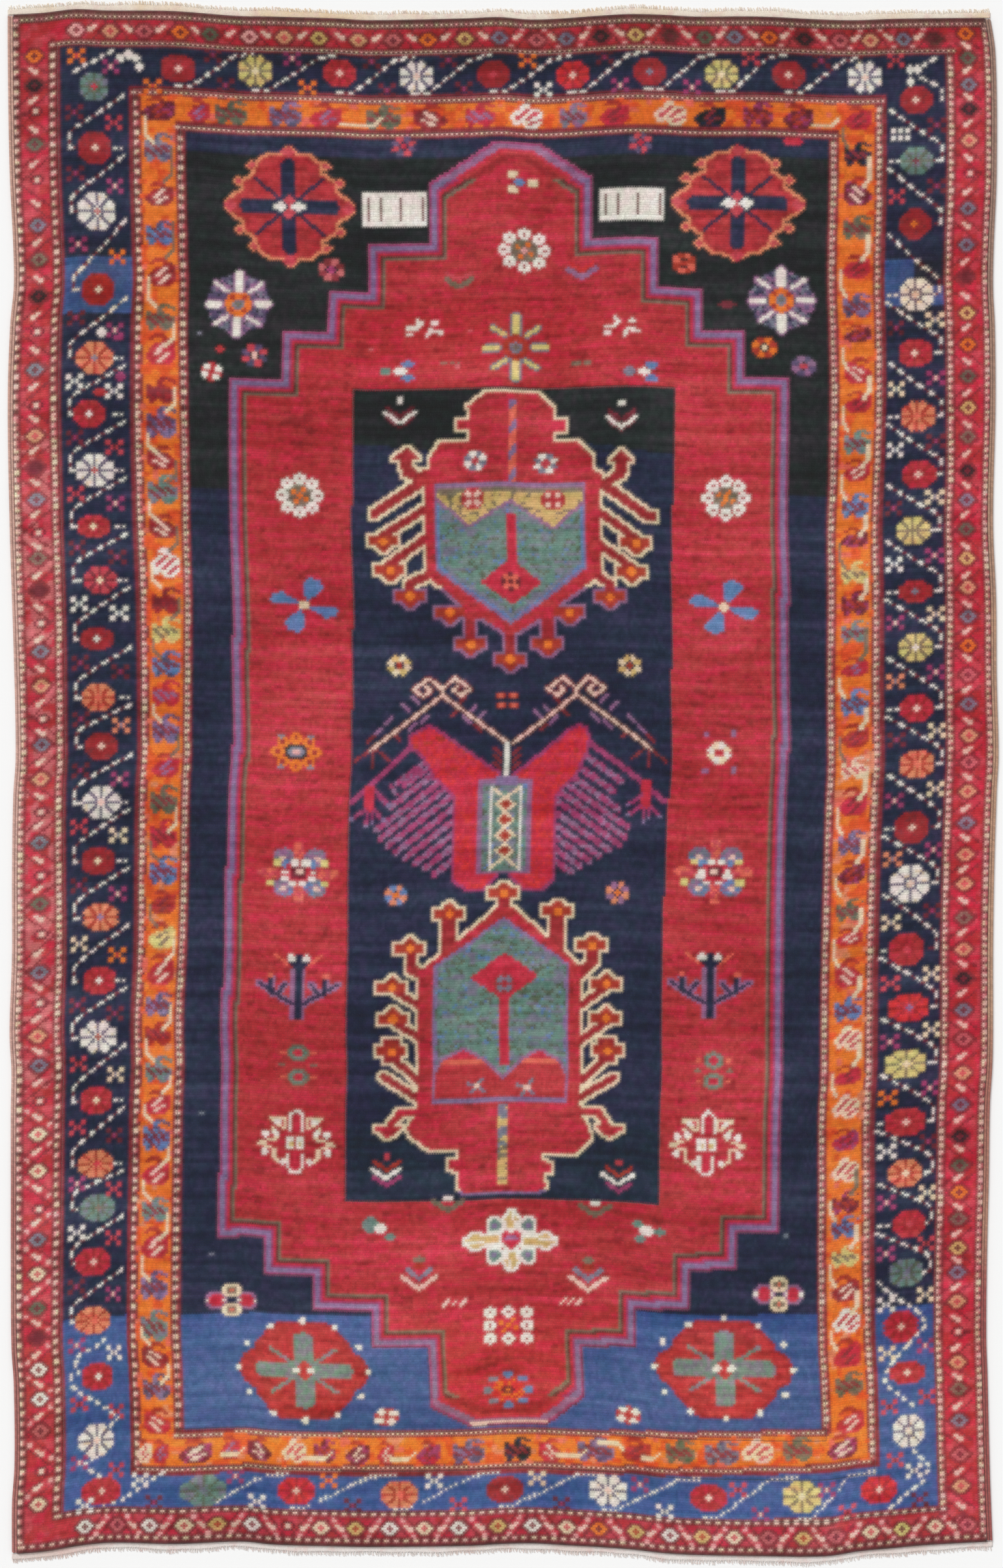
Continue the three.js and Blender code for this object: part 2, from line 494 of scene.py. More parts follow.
# Leaves of the orange border: yarn and marks, then each leaf's place along the side and its size.
# Veins run along a leaf, bars cross it rising or falling to the right.
LEAVES = {
    "left": """
slate veins 56 12
deep_madder rising 75 10 107 12
sky veins 91.5 10 267 11 352 12 460.5 13
moss veins 125 11 323 12
madder rising 138.5 13 392.5 13 475 12 505 13
deep_madder veins 155.5 11 241.5 11
lilac veins 168.5 13 294.5 12 407 10 522 12 563 11
deep_madder falling 183 10 211.5 10 550.5 11
teal veins 196 12 433 11 491.5 10 538 13
ivory zigzag 225.5 12
yellow veins 254 11
madder veins 280 11
madder plain 308.5 10
crimson veins 337 12
rust plain 365.5 10
yellow plain 378.5 11
rust veins 419.5 10
crimson rising 446.5 10
madder falling 577 11
""",
    "right": """
navy veins 55 10
maroon falling 70 12
moss veins 85 10 364 9 558.5 10
crimson plain 100.5 10 157 9 320 12 431.5 8 546 12
lilac veins 116.5 10 336.5 10
maroon plain 128.5 7 212.5 8 348.5 10
madder falling 143 11 389.5 12
teal veins 172.5 10 251 9
madder rising 185 9 376 7 573 11
sky veins 198.5 10 279 11 404.5 10 494 9
yellow veins 226 9 506 9
maroon veins 238.5 10 484 9
madder plain 265 8
rust plain 292.5 10
cream veins 307 9
cream zigzag 417.5 10 445.5 10 471.5 10
magenta plain 459 9
deep_madder rising 519 11
ivory zigzag 532.5 10
""",
    "far": """
maroon plain 58 13 316 12
madder plain 74 9 125.5 13
moss veins 87.5 13 149.5 14
lilac veins 109.5 13
deep_madder falling 168 14
madder veins 188 12
ivory zigzag 206.5 13
mauve veins 226 11
crimson plain 242 12 340 11
cream zigzag 264 13
night plain 281 13
maroon veins 300 12
""",
    "near": """
cream plain 53 6
madder plain 59.5 7 86 8
maroon rising 73 12 138 10 336 12
maroon falling 98 10
cream zigzag 112 10 301.5 13
maroon veins 125 9
madder rising 149 7
magenta plain 167 10
lilac veins 183.5 13 236 15
night veins 203 11
madder falling 217.5 10
rust plain 252 12
moss veins 270.5 12 317.5 12
slate veins 286.5 14
""",
}

# A second yarn that mottles leaves and petals, with the share of its knots
MIXES = {yarn: mix for yarn, *mix in read_rows("""
deep_madder wine 0.3
madder crimson 0.4
crimson madder 0.35
scarlet crimson 0.35
maroon magenta 0.3
rust madder 0.4
rose crimson 0.4
magenta crimson 0.4
lilac plum 0.45
sky plum 0.35
slate plum 0.35
mauve slate 0.4
teal slate 0.4
moss olive 0.4
apricot salmon 0.3
yellow camel 0.3
cream bead 0.3
ivory cream 0.1
navy night 0.4
night navy 0.4
""")}
VEINS = {"ivory": "crimson", "cream": "rose", "yellow": "olive", "maroon": "rust", "madder": "mauve"}

# Stems beside the leaves: the columns where those of each side start and end, then the rows by yarn
STEM_COLUMNS = {
    "left outer": (53.5, 56.5),
    "left inner": (63.5, 60.5),
    "right inner": (333.5, 335.5),
    "right outer": (344, 342),
}
STEMS = read_rows("""
cream left_outer 44 54 110 121 174 181 202 209 228 236 285 291 422 430 449 455 480 487 511 520 540 546
cream left_inner 129 137 155 164 327 336 381 389 408 417 437 443 466 473 493 503 555 562
cream right_inner 103 113 135 143 159 168 187 196 270 277 323 333
cream right_inner 352 358 377 387 432 440 484 491 510 518 537 544
cream right_outer 57 68 89 98 147 155 175 183 204 211 230 237 283 290
cream right_outer 309 319 337 345 365 373 393 400 420 428 495 503 522 530
olive left_outer 258 265 341 348 367 375
olive left_inner 57 70 87 101 185 193 212 221 241 249 297 305
olive right_inner 45 52 215 224 294 303
olive right_outer 250 262 472 481
""")
STEMS_ACROSS = [
    ((132, 43.5), (148, 40.5)), ((322, 43.5), (332, 40)), ((82, 592), (92, 589)), ((116, 592), (128, 589)),
    ((151, 592), (162, 589)), ((219, 591), (232, 588)), ((236, 585), (247, 587)), ((254, 590), (262, 587)),
]


def lean_of_near_end(columns):
    """How many rows the guard lines near the near end lie below their level."""
    return np.interp(columns, [50, 132, 230, 264, 328, 346], [1.5, 0.2, 0, -2, -4.8, -4.2])


def border_knots(left, top, right, bottom):
    """A rectangle whose near side follows the lean of the guard lines."""
    level = ROWS - lean_of_near_end(COLUMNS)
    return (COLUMNS >= left) & (COLUMNS < right) & (ROWS >= top) & (level < bottom)


def border(yarn, left, top, right, bottom):
    dye(yarn, border_knots(left, top, right, bottom))


def guard(places, on, off, sides="wine", wide=1.9):
    """A guard line: light beads with dark knots between them, on a line of another yarn."""
    dye(sides, line(places, wide + 2))
    dye("umber", line(places, wide))
    beads = line(places, wide, on, off)
    dye("bead", beads)
    mottle("pink", beads, 0.15)
    mottle("cream", beads, 0.3, turn=1)


def side_guard(column, top, bottom, pitches=(4, 3, 4)):
    """An upright guard line, two beads wide, its beads wider apart in some parts of the rug."""
    ends = [top, 165, 430, bottom]
    for pitch, first, last in zip(pitches, ends, ends[1:]):
        guard([(column, first), (column, last)], 2, pitch - 2)
        beads = line([(column + 0.5, first), (column + 0.5, last)], 0.9, 2, pitch - 2)
        mottle("dusty rose", beads, 0.55, turn=2)


def lay_grounds():
    dye("umber", box(0, 0, KNOTS_ACROSS, KNOTS_ALONG))
    rose = box(2.5, 3.5, 391.5, 625)
    dye("madder", rose)
    mottle("rose", rose, 0.5, BLOTS)
    mottle("crimson", rose, 0.28, BLOTS, turn=3)
    mottle("dusty rose", rose & (COLUMNS < 20) & (ROWS > 170) & (ROWS < 440), 0.4, BLOTS, turn=5)
    dye("wine", box(17, 13.5, 377, 614.5))
    ground = box(19, 14.5, 376, 613.5)
    dye("navy", ground)
    dye("blue", shape(path("19 101.5 48 101.5 48 124.5 19 124.5")))
    dye("blue", shape(path("351 99.5 364 99.5 364 110 376 110 376 118 351 118")))
    dye("blue", shape(path("19 535 376 528.5 376 613.5 19 613.5")))
    border("wine", 47, 31.5, 351, 598.5)
    border("orange", 51.5, 34.5, 347.5, 595)
    border("wine", 64.8, 45.5, 332, 582.5)
    border("maroon", 68, 48, 329.5, 581)
    border("navy", 69, 49, 328.5, 580)
    dye("night", box(69, 57, 328.5, 195))
    dye("blue", shape(path("69 534 328.5 529 328.5 576 264 578.5 230 580.5 69 581.5")))


def lay_guards():
    near = path("50 598 132 596 230 595.8 264 594.2 328 591.8 347.5 592")
    near_inner = path("66 583.5 132 582 230 581.7 264 579.5 329.5 577")
    side_guard(1, 3, 626)
    side_guard(16, 13, 614.5)
    side_guard(50, 33, 597)
    side_guard(67, 47, 583)
    for column, top, bottom in ((393, 3, 626), (377, 13, 614.5), (348, 33, 591), (330, 47, 577)):
        side_guard(column, top, bottom, (3, 3, 3))
    dye("brown", box(0, 0, KNOTS_ACROSS, 1.5) | box(0, 627, KNOTS_ACROSS, 628))
    guard([(1, 2.5), (393, 2.5)], 1, 1, "brown", 1.0)
    guard([(1, 625.5), (393, 625.5)], 2, 2, "wine", 1.0)
    guard([(16, 13.5), (378, 13.5)], 1, 1, "wine", 1.0)
    guard(path("16 614.5 262 614.5 378 613.5"), 2, 2, "wine", 1.2)
    guard([(49, 33.5), (349, 33.5)], 1, 1, "wine", 1.0)
    guard(near, 1, 1, "wine", 1.0)
    guard([(66, 47.5), (331, 47.5)], 1, 1, "wine", 1.0)
    guard(near_inner, 1, 1, "wine", 1.0)


def rosette(column, row, half_width, half_height, petals, eye):
    """Eight petals round an eye, with seams between them."""
    column = math.floor(column) + 0.5
    row = math.floor(row) + 0.5

    def polar(columns, rows):
        across = (columns - column) / half_width
        along = (rows - row) / half_height
        reach = np.hypot(across, along)
        lobes = np.abs(np.sin(4 * np.arctan2(along, across)))
        return reach, lobes

    def petal(columns, rows):
        reach, lobes = polar(columns, rows)
        return reach < 0.82 + 0.22 * lobes ** 0.7

    def seam(columns, rows):
        reach, lobes = polar(columns, rows)
        return (lobes * reach * half_width < 2.3) & (reach > 0.26) & (reach < 1)

    part = part_of_chart(column - half_width - 1, row - half_height - 1,
                         column + half_width + 1, row + half_height + 1)
    body = choose(part, petal)
    dye(petals, body)
    mix, share = MIXES[petals]
    mottle(mix, body, share * 0.7, turn=int(row) % 9)
    dye(SEAMS.get(petals, "deep madder"), choose(part, seam))
    dye(eye, oval(column, row, 1.2, 1.2))


def side_vine(rows, turn, low, foot):
    """A dashed stem that zigzags down one side of the blue border, from rosette to rosette."""
    step = math.copysign(1, low - turn)
    for here, there in zip(rows, rows[1:]):
        stem = [
            (turn + step * 0.5, here + 3.5), (low - step * 2, there - 7.5), (low, there - 5.5), (low, there),
            (foot, there + 0.5),
        ]
        dye("maroon", line(stem, 0.9))
        dye("ivory", line(stem, 1.0, 3, 2.2))
        dye("ivory", line([(turn + step * 5, here + 0.5), (turn, here + 0.5)], 0.9, 1.6, 1.2))


def lay_blue_border():
    rosettes = {
        "left": [row for column, row, *_ in ROSETTES if column < 40],
        "right": [row for column, row, *_ in ROSETTES if column > 355],
        "far": [column for column, row, *_ in ROSETTES if row < 26],
        "near": [column for column, row, *_ in ROSETTES if row > 598 and column > 40],
    }
    side_vine(rosettes["left"][:-3], 45, 22.5, 25)
    side_vine(rosettes["right"][:-3], 351.5, 373.5, 370.5)
    far, near = rosettes["far"], rosettes["near"]
    for here, there in zip(far, far[1:]):
        stem = [(here - 1, 30.5), (here + 5, 30.5), (there - 8, 16.5), (there - 1, 15.5)]
        dye("maroon", line(stem, 0.9))
        dye("ivory", line(stem, 1.0, 2.6, 1.8))
    for here, there in zip(near, near[1:]):
        fall = lean_of_near_end(there) * 0.6
        stem = [(here - 1, 612.5), (here + 4, 612.5), (there - 12, 599 + fall), (there - 2, 598.5 + fall)]
        dye("ivory", line(stem, 1.2, 1, 1))
    for stem in (
        [(24.5, 25.5), (40, 16.5)],
        path("37 544 33 547 25 550 23.5 554 25 559"),
        path("21.5 558 22 562.5 27 567 41.5 576.5 37.5 580"),
        path("31 592.5 27 594 28 597 35 601.5"),
        path("35 612 44 610.5 62 598"),
        [(366, 20), (371, 16.5)],
        path("366 24.5 370 26.5 373.5 29.5 373.5 33"),
        path("352 518 357.6 523.8 369 532.4 371.2 536 371.2 538.7 364.6 545"),
        path("364 545.5 357.6 551.7 354 556.5 354 560 357.6 563.8 366.5 570.5"),
        path("365 588 372 596 369 601.5 355 611.5"),
    ):
        dye("ivory", line(stem, 1.3, 2.4, 1.6))
    for column, row in ((43.5, 19.5), (47, 18), (50, 19.5), (51.5, 23), (361.5, 26),
                        (361.5, 21), (364.5, 21)):
        dye("ivory", oval(column, row, 1.8, 1.6))
    for column in range(353, 362, 3):
        for row in range(45, 51, 3):
            dye("ivory", box(column, row, column + 1.6, row + 1.6))
    for flower in ROSETTES:
        rosette(*flower)
    crosses = list(LONE_CROSSES)
    for side, level, share, letters in CROSSES:
        for here, there, letter in zip(rosettes[side], rosettes[side][1:], letters):
            along = here + (there - here) * share
            crosses.append((level, along, letter) if side in ("left", "right") else (along, level, letter))
    for column, row, letter in crosses:
        if letter != ".":
            yarn = CROSS_YARNS[letter]
            stamp(column, row, CROSS, {"x": yarn, "o": CROSS_EYES.get(yarn, "slate")})
    dye("ivory", oval(35, 132, 1.9, 1.6))
    dye("magenta", oval(42, 134, 1.8, 1.4))
    dye("magenta", oval(43, 150, 2, 1.8))
    dye("madder", oval(35, 156.5, 3, 1.8))


def lay_red_border():
    for side, (middle, first_lean, rows) in RED_BORDER.items():
        flowers = {yarn: tied for yarn, *tied in read_rows(rows)}
        upright = side in ("left", "right")
        places = sorted(sum(flowers.values(), []))
        dashes = []
        for step, (here, there) in enumerate(zip(places, places[1:])):
            along = (here + there) / 2
            dashes.append((middle, along) if upright else (along, middle))
            column, row = dashes[-1]
            lean = first_lean * (-1) ** step
            for beyond in (-2.7, 2.7):
                if upright:
                    ends = [(column - 5, row - 4 * lean + beyond), (column + 5, row + 4 * lean + beyond)]
                else:
                    ends = [(column - 3 + beyond, row - 4 * lean), (column + 3 + beyond, row + 4 * lean)]
                dye("wine", line(ends, 0.9))
        for step, (column, row) in enumerate(dashes):
            lean = first_lean * (-1) ** step
            stamp(column, row, DASH, {"x": "bead"}, flipped=lean < 0)
            if side == "near" or side == "left" and row > 450 or side == "far" and column > 190:
                across, down = (4.2, 3) if upright else (2.4, 3.4)
                for end in (-1, 1):
                    dye("pink", oval(column + end * across, row + end * down * lean, 1.1, 0.9))
        for yarn, tied in flowers.items():
            for along in tied:
                place = (middle, along) if upright else (along, middle)
                if yarn == "eye":
                    stamp(*place, EYE, {"x": "bead", "h": "maroon"})
                else:
                    pale = side == "near" or side == "left" and along > 440
                    eye = {"cream": "rose", "camel": "rust", "ivory": "wine"}.get(yarn, "maroon")
                    petals = yarn if pale else FADED.get(yarn, yarn)
                    stamp(*place, BLOSSOM, {"x": petals, "h": eye}, halo="wine")


def leaf(column, row, wide, high, yarn, marks):
    """A small leaf of the orange border, in one yarn mottled with another."""
    repeat = {"veins": HOOKED_LEAF, "zigzag": STRIPED_LEAF}.get(marks, BARRED_LEAF)
    found = stamped(column, row, repeat, marks == "falling", wide, high)
    body = any_of(found)
    dye(yarn, body)
    mix, share = MIXES[yarn]
    mottle(mix, body, share, turn=int(column + row) % 17)
    if "v" in found:
        dye(VEINS.get(yarn, "wine"), found["v"])
    if "b" in found:
        dye(VEINS.get(yarn, "wine") if marks == "plain" else "bead", found["b"])
    if "r" in found:
        dye("rust", found["r"])


def lay_orange_border():
    middles = {"left": 58.5, "right": 339.5, "far": 40, "near": 588.5}
    ground = border_knots(51.5, 34.5, 347.5, 595) & ~border_knots(64.8, 45.5, 332, 582.5)
    mottle("salmon", ground, 0.05, BLOTS)
    mottle("apricot", ground & (ROWS > 300), 0.08, BLOTS, turn=2)
    mottle("flame", ground, 0.22, BLOTS, turn=4)
    for side, leaves in LEAVES.items():
        for yarn, marks, *rows in read_rows(leaves):
            for along, size in zip(rows[::2], rows[1::2]):
                if side in ("left", "right"):
                    leaf(middles[side], along, 11, size, yarn, marks)
                else:
                    row = middles[side] + (lean_of_near_end(along) if side == "near" else 0)
                    leaf(along, row, size, 10, yarn, marks)
    for yarn, side, *rows in STEMS:
        start, end = STEM_COLUMNS[side]
        for top, foot in zip(rows[::2], rows[1::2]):
            dye(yarn, line([(start, top), (start, foot - 3), (end, foot)], 1.5))
    for (c0, r0), (c1, r1) in STEMS_ACROSS:
        dye("cream", line([(c0, r0), (c1 - 3, r0), (c1, r1)], 1.4))
# Stepped outline of the medallion: corners down its left and right sides
MEDALLION_LEFT = path("""
    193 51 167.5 67 167.5 92 142.5 92 142.5 112.5 126 112.5 126 129.5 108 129.5 108 149.5 87 149.5 87 220
    86.5 255 85.5 300 84.5 350 83.5 400 83 450 82 503 101 502 101 517 121 516.5 121 531.5 145.5 531 145.5
    546 168 546 168 571 184 579
""")
MEDALLION_RIGHT = path("""
    212 51 233.5 66 233.5 91.5 260.5 91.5 260.5 111 278 110.7 278 127.8 294.7 128.3 294.7 146.7 313.5
    146.7 313.5 190 312.5 240 311.5 300 311 350 310.6 400 310.6 450 310.6 496 294 496 294 511 275 512 275
    528 253 529 253 545 231 546 231 567 216 578.5
""")
# Its bands from the outside in: yarn, yarn where its sides slope, and knots wide
MEDALLION_BANDS = [
    ("magenta", "magenta", 1), ("lilac", "mauve", 2), ("magenta", "crimson", 1), ("crimson", "madder", 1),
    ("umber", "deep madder", 1), ("olive", "deep madder", 1),
]
SLOPES = (66, 567)
# The inner field: columns of its left and right sides down its rows
INNER_SIDES = [
    (152, 137, 267), (200, 136.5, 266.5), (235, 136, 265), (300, 134, 264),
    (360, 134, 262.5), (440, 134, 262),
    (486, 133.5, 262),
]


def mirrored(axis, places):
    """The same places on the other side of an upright axis."""
    return [(2 * axis - column, row) for column, row in places]


def lay_medallion():
    inside = shape(MEDALLION_LEFT + MEDALLION_RIGHT[::-1])
    sloping = (ROWS < SLOPES[0]) | (ROWS > SLOPES[1])
    for yarn, on_slopes, knots in MEDALLION_BANDS:
        dye(yarn, inside)
        dye(on_slopes, inside & sloping)
        inside = shrink(inside, knots)
    dye("madder", inside)
    mottle("crimson", inside, 0.3, STREAKS)
    mottle("deep madder", inside, 0.1, STREAKS, turn=3)
    dye("bead", line([(185, 577.8), (215, 577.3)], 1.6))
    left = [(side[1], side[0]) for side in INNER_SIDES]
    right = [(side[2], side[0]) for side in INNER_SIDES]
    inner = shape(left + right[::-1])
    dye("navy", inner)
    dye("night", inner & (ROWS < 177 + 2 * np.sin(COLUMNS / 13)))
    dye("marine", inner & (ROWS > 455 + 1.5 * np.sin(COLUMNS / 17)))


def spin(column, row, reach, count, start=0.0):
    """Places evenly round a middle, half as many again across as along where reach is a pair."""
    wide, tall = reach
    turns = [start + 2 * math.pi * step / count for step in range(count)]
    return [(column + wide * math.sin(turn), row - tall * math.cos(turn)) for turn in turns]


def petal_rosette(column, row, reach, petals, other, eye, count=8):
    """A small rosette whose petals change yarn in turn."""
    for step, (c, r) in enumerate(spin(column, row, (reach * 0.66, reach * 0.6), count, math.pi / count)):
        dye(other if step % 2 else petals, oval(c, r, reach * 0.3, reach * 0.28))
    dye(eye, oval(column, row, reach * 0.26, reach * 0.24))


def form_knots(form, numbers, column, row, side=1):
    """The knots of a form, by its numbers round a middle. Side is -1 for its mirror image."""
    if form == "ring":
        wide, tall, count, turned, half_width, half_height = numbers
        middles = spin(column, row, (wide, tall), count, 2 * math.pi * turned / count)
        return np.logical_or.reduce([oval(c, r, half_width, half_height) for c, r in middles])
    if form in ("line", "shape"):
        skip = 1 if form == "line" else 0
        run = [(column + side * c, row + r) for c, r in zip(numbers[skip::2], numbers[skip + 1 :: 2])]
        return line(run, numbers[0]) if skip else shape(run)
    found = np.zeros(chart.shape, bool)
    for a, b, c, d in zip(*[iter(numbers)] * 4):
        if form == "box":
            found |= box(column + a, row + b, column + c, row + d)
        else:
            found |= {"oval": oval, "diamond": diamond_knots}[form](column + side * a, row + b, c, d)
    return found


def gathered(steps):
    """The knots of all the forms in some rows, counted over the whole chart."""
    return np.logical_or.reduce([form_knots(form, numbers, 0, 0) for form, *numbers in read_rows(steps)])


def tie(steps, column=0, row=0, side=1):
    """Tie a motif round its middle.

    Each row of its steps gives yarns, a form and the form's numbers, which run across and along from the
    middle: oval and diamond have a middle, half width and half height, box its left, top, right and bottom,
    line its width and then its places, shape its corners, and ring its reach across and along, how many ovals
    it has, its turn in steps, and their half width and half height. A star adds the mirror image. Of the
    yarns, one after a slash is a rim, and one with a share after a plus is mottled over the first.
    """
    for yarns, form, *numbers in read_rows(steps):
        chosen = form_knots(form.strip("*"), numbers, column, row, side)
        if form.endswith("*"):
            chosen |= form_knots(form.strip("*"), numbers, column, row, -side)
        yarn, *mixed = yarns.split("+")
        yarn, *rim = yarn.split("/")
        if rim:
            dye(rim[0], grow(chosen))
        dye(yarn, chosen)
        for other in mixed:
            other, share = other.split(":")
            mottle(other, chosen, float(share))


def tie_rosettes(rows):
    """Small rosettes, each by its middle, reach and three yarns."""
    for column, row, reach, *yarns in read_rows(rows):
        petal_rosette(column, row, reach, *yarns)


def loop_ring(column, row, wide, tall, inner, eye, square=False):
    """A ring of small open loops round a dark middle with four spots."""
    dye(inner, oval(column, row, wide * 0.58, tall * 0.58))
    for c, r in spin(column, row, (wide * 0.32, tall * 0.3), 4, 0.5):
        dye("orange", oval(c, r, 1.1, 1))
    reach = 1.35 if square else 1
    for step, (c, r) in enumerate(spin(column, row, (wide - 2.2, tall - 2.2), 8)):
        if step % 2:
            c = column + (c - column) * reach
            r = row + (r - row) * reach
        dye("ivory", oval(c, r, 2.6, 2.3))
        dye("deep madder", oval(c, r, 0.8, 0.8))
    dye(eye, oval(column, row, 1.5, 1.2))


def diamond_knots(column, row, half_wide, half_tall):
    return shape([
        (column - half_wide, row), (column, row - half_tall),
        (column + half_wide, row), (column, row + half_tall),
    ])


def diamond(yarn, column, row, half_wide, half_tall):
    dye(yarn, diamond_knots(column, row, half_wide, half_tall))


# Rays of a star: width, and places of both ends
RAYS = """
3.4 0 -12 0 -6
3.4 0 6 0 12
2.6 -12 0.6 -7.6 0.6
2.6 7.6 -0.4 12 -0.4
1.5 -9.6 -8 -4.6 -5
1.5 9.2 -8.6 4.4 -5.2
1.5 -8.8 8.4 -3.8 5.2
1.5 4 5.2 8.8 8
"""


def star(column, row, ray, petals, disc, eye, edge="slate"):
    """Eight rays, the upright and level ones broad, over a round of petals."""
    if petals:
        for step, (c, r) in enumerate(spin(column, row, (10.4, 10), 8, math.pi / 8)):
            for lean in (-1.8, 1.8):
                near = (c + lean * (row - r) / 10, r + lean * (c - column) / 10)
                dye(petals, oval(near[0], near[1], 2.5, 2.2))
        dye(petals, oval(column, row, 8, 7.6))
        round_petals = oval(column, row, 13, 12.5) & (chart == YARNS.index(petals))
        mottle("mauve", round_petals, 0.3)
        mottle("slate", round_petals, 0.25, turn=2)
        mottle("navy", round_petals & ~oval(column, row, 8, 8), 0.12, turn=4)
    for yarn, extra in ((edge, 1.3), (ray, 0)):
        for width, *ends in read_rows(RAYS):
            dye(yarn, form_knots("line", [width + extra] + ends, column, row))
    dye(disc, oval(column, row, 5.3, 5.2))
    for c, r in spin(column, row, (3.9, 3.8), 4, 0.8):
        dye("rust", oval(c, r, 1.1, 1))
    dye(eye, oval(column, row, 2.4, 2.2))
    dye("olive", oval(column, row, 1.2, 1.1))


BLADE = path("0.6 -1.2 0.2 -9.4 2.8 -11.4 6.4 -10.2 8.4 -7.4 5.2 -4.6 2 -1.8")


def pinwheel(column, row):
    """Four blue blades turning clockwise, crimson between them."""
    for quarter in range(4):
        across, along = math.sin(quarter * math.pi / 2), math.cos(quarter * math.pi / 2)
        wide, tall = (1.25, 0.65) if quarter % 2 else (1, 1)
        for yarn, size, turned in (("crimson", 0.86, -1), ("sky", 1, 1)):
            blade = []
            for c, r in BLADE:
                c *= turned
                blade.append((column + size * wide * (c * along - r * across),
                              row + size * tall * (c * across + r * along)))
            dye(yarn, shape(blade))
    dye("cream", oval(column, row, 2.2, 2))


def lozenge_flower(column, row):
    """A large flower of a red cross, mottled corner petals and a ring of small white squares."""
    petals = form_knots("ring", (9, 8.8, 4, 0.5, 4.6, 3.8), column, row)
    dye("mauve", petals)
    mottle("slate", petals, 0.5)
    mottle("sky", petals & (ROWS > row - 6), 0.3, turn=1)
    tie(LOZENGE_FLOWER, column, row)


LOZENGE_FLOWER = """
bead oval* 6.788 -5.6225 1.6 1.1 6.788 6.8225 1.6 1.1
salmon+rose:0.5 box -17 -0.9 -8 1.6 7.4 -1.1 15.4 1.8 -15 -1.6 -8.6 2.2 8 -1.8 13.6 2.4
salmon+rose:0.5 box -2.2 -12.5 1.8 -5 -2.4 5 1.6 12.6
yellow box -10.2 -5.4 -7.3 -2.8 8.1 -5.4 11.2 -2.8 -13.6 3.2 -10.5 5.8 8.1 3.2 11.6 5.6
sky box -6.6 -5.4 -4.4 -1.6 4.8 -5.4 6.8 -1.6
crimson box -5 -3 5 4
ivory box -3.3 -5 -0.4 -2.6 0.7 -5 4.2 -2.6 -7 -0.9 -4.4 0.6 -7.7 1.3 -4.2 3.2
ivory box 4.2 -0.9 6.2 0.6 3.2 1.3 6.7 3.4 -4.8 3.6 -1.6 5.4 -0.4 3.6 2.6 5.4
maroon box -3.2 -2.2 2.8 2.2
bead box -1.6 -1.2 1.4 1
"""
# Red petals drawn with an ivory line, and a heart of two ivory squares
OUTLINE_FLOWER = """
crimson box -1.4 -12 1.6 -5.4 -2.4 4.4 1.2 11 -14.6 -1 -9.6 1.2 9.6 -1 14.6 1.2
ivory line 1.1 -2.3 -5.6 -2.3 -12 0.2 -14 2.6 -12 2.6 -5.6
ivory line 1.1 -3.5 4.4 -3.5 9.6 -2 11.4 1 11.4 2.3 9.6 2.3 4.4
cream line* 1.1 10.2 -10.2 4.4 -10.2 4.4 -6.2 6 -7 10.2 -10.2
cream line* 1.1 9.6 -6.4 7.4 -3.8 8.4 -2
cream line* 1.1 9 1.8 9 6 6 8 4.6 7
cream line* 1.1 10 -1.6 15.4 0.2 10 1.8
ivory oval* 7.3 -8.8 1.5 1.275 12.4 -3.7 1.6 1.36 12.8 3.5 1.6 1.36
ivory oval* 5.4 7.4 1.3 1.105 8.4 -4.4 1.5 1.275
ivory box -4.1 -2.5 -0.6 1.8 0.2 -2.5 3.5 1.8
camel box -2.8 -1.2 -1.4 0.8 1 -1.2 2.4 0.8
"""
# A small navy tree with two arms of upright twigs and a tipped crown
TREE = """
mauve line* 3.1 0 21.5 9.4 16.4 16 12.2
mauve line* 3.1 10.6 16 11.2 10
mauve line* 3.1 8.4 16.6 5.2 12.4
mauve box -3 6 3 27
navy line* 1.3 0 21.5 9.4 16.4 16 12.2
navy line* 1.3 8.4 16.6 5.2 12.4
navy line* 2 10.6 16 11.2 10
salmon line* 1.2 9.4 0.5 4.4 4.2
salmon line* 1.2 10.2 9 12 9
ivory oval* 3.2 2 1.6 1.7
navy shape -4.6 3.4 4.6 3.4 1.6 6.6 -1.6 6.6
navy box -1.6 0 1.6 27
"""
GREEN_RING = """
olive oval 0 0 4.4 3.6
teal oval 0 0 3.4 2.6
olive oval 0 0 2.4 1.8
crimson oval 0 0 2 1.6
salmon oval* 6 0 1.4 0.9
"""
# Six small petals round a blue heart
SIX_PETALS = """
crimson ring 5.4 3.8 3 0.25 2.2 1.7
cream ring 5.4 3.8 3 0.75 2.2 1.7
sky oval 0 0 2.2 1.2
"""
# Two pairs of small white hooks
HOOKS = """
ivory line 1.5 -6.5 -0.5 -3 -0.5 -1 -2.5 -2.6 -4
ivory oval -5.6 2 1.3 1 4.6 -2.6 1.4 1.1
ivory line 1.6 7 1.5 3 0.5 1.4 3
"""
# A white eye with two blue leaves
EYED_LEAVES = """
sky oval 3 -2.6 2.6 1.5 3 2.6 2.6 1.5
ivory oval 0 0 2.7 1.6
"""
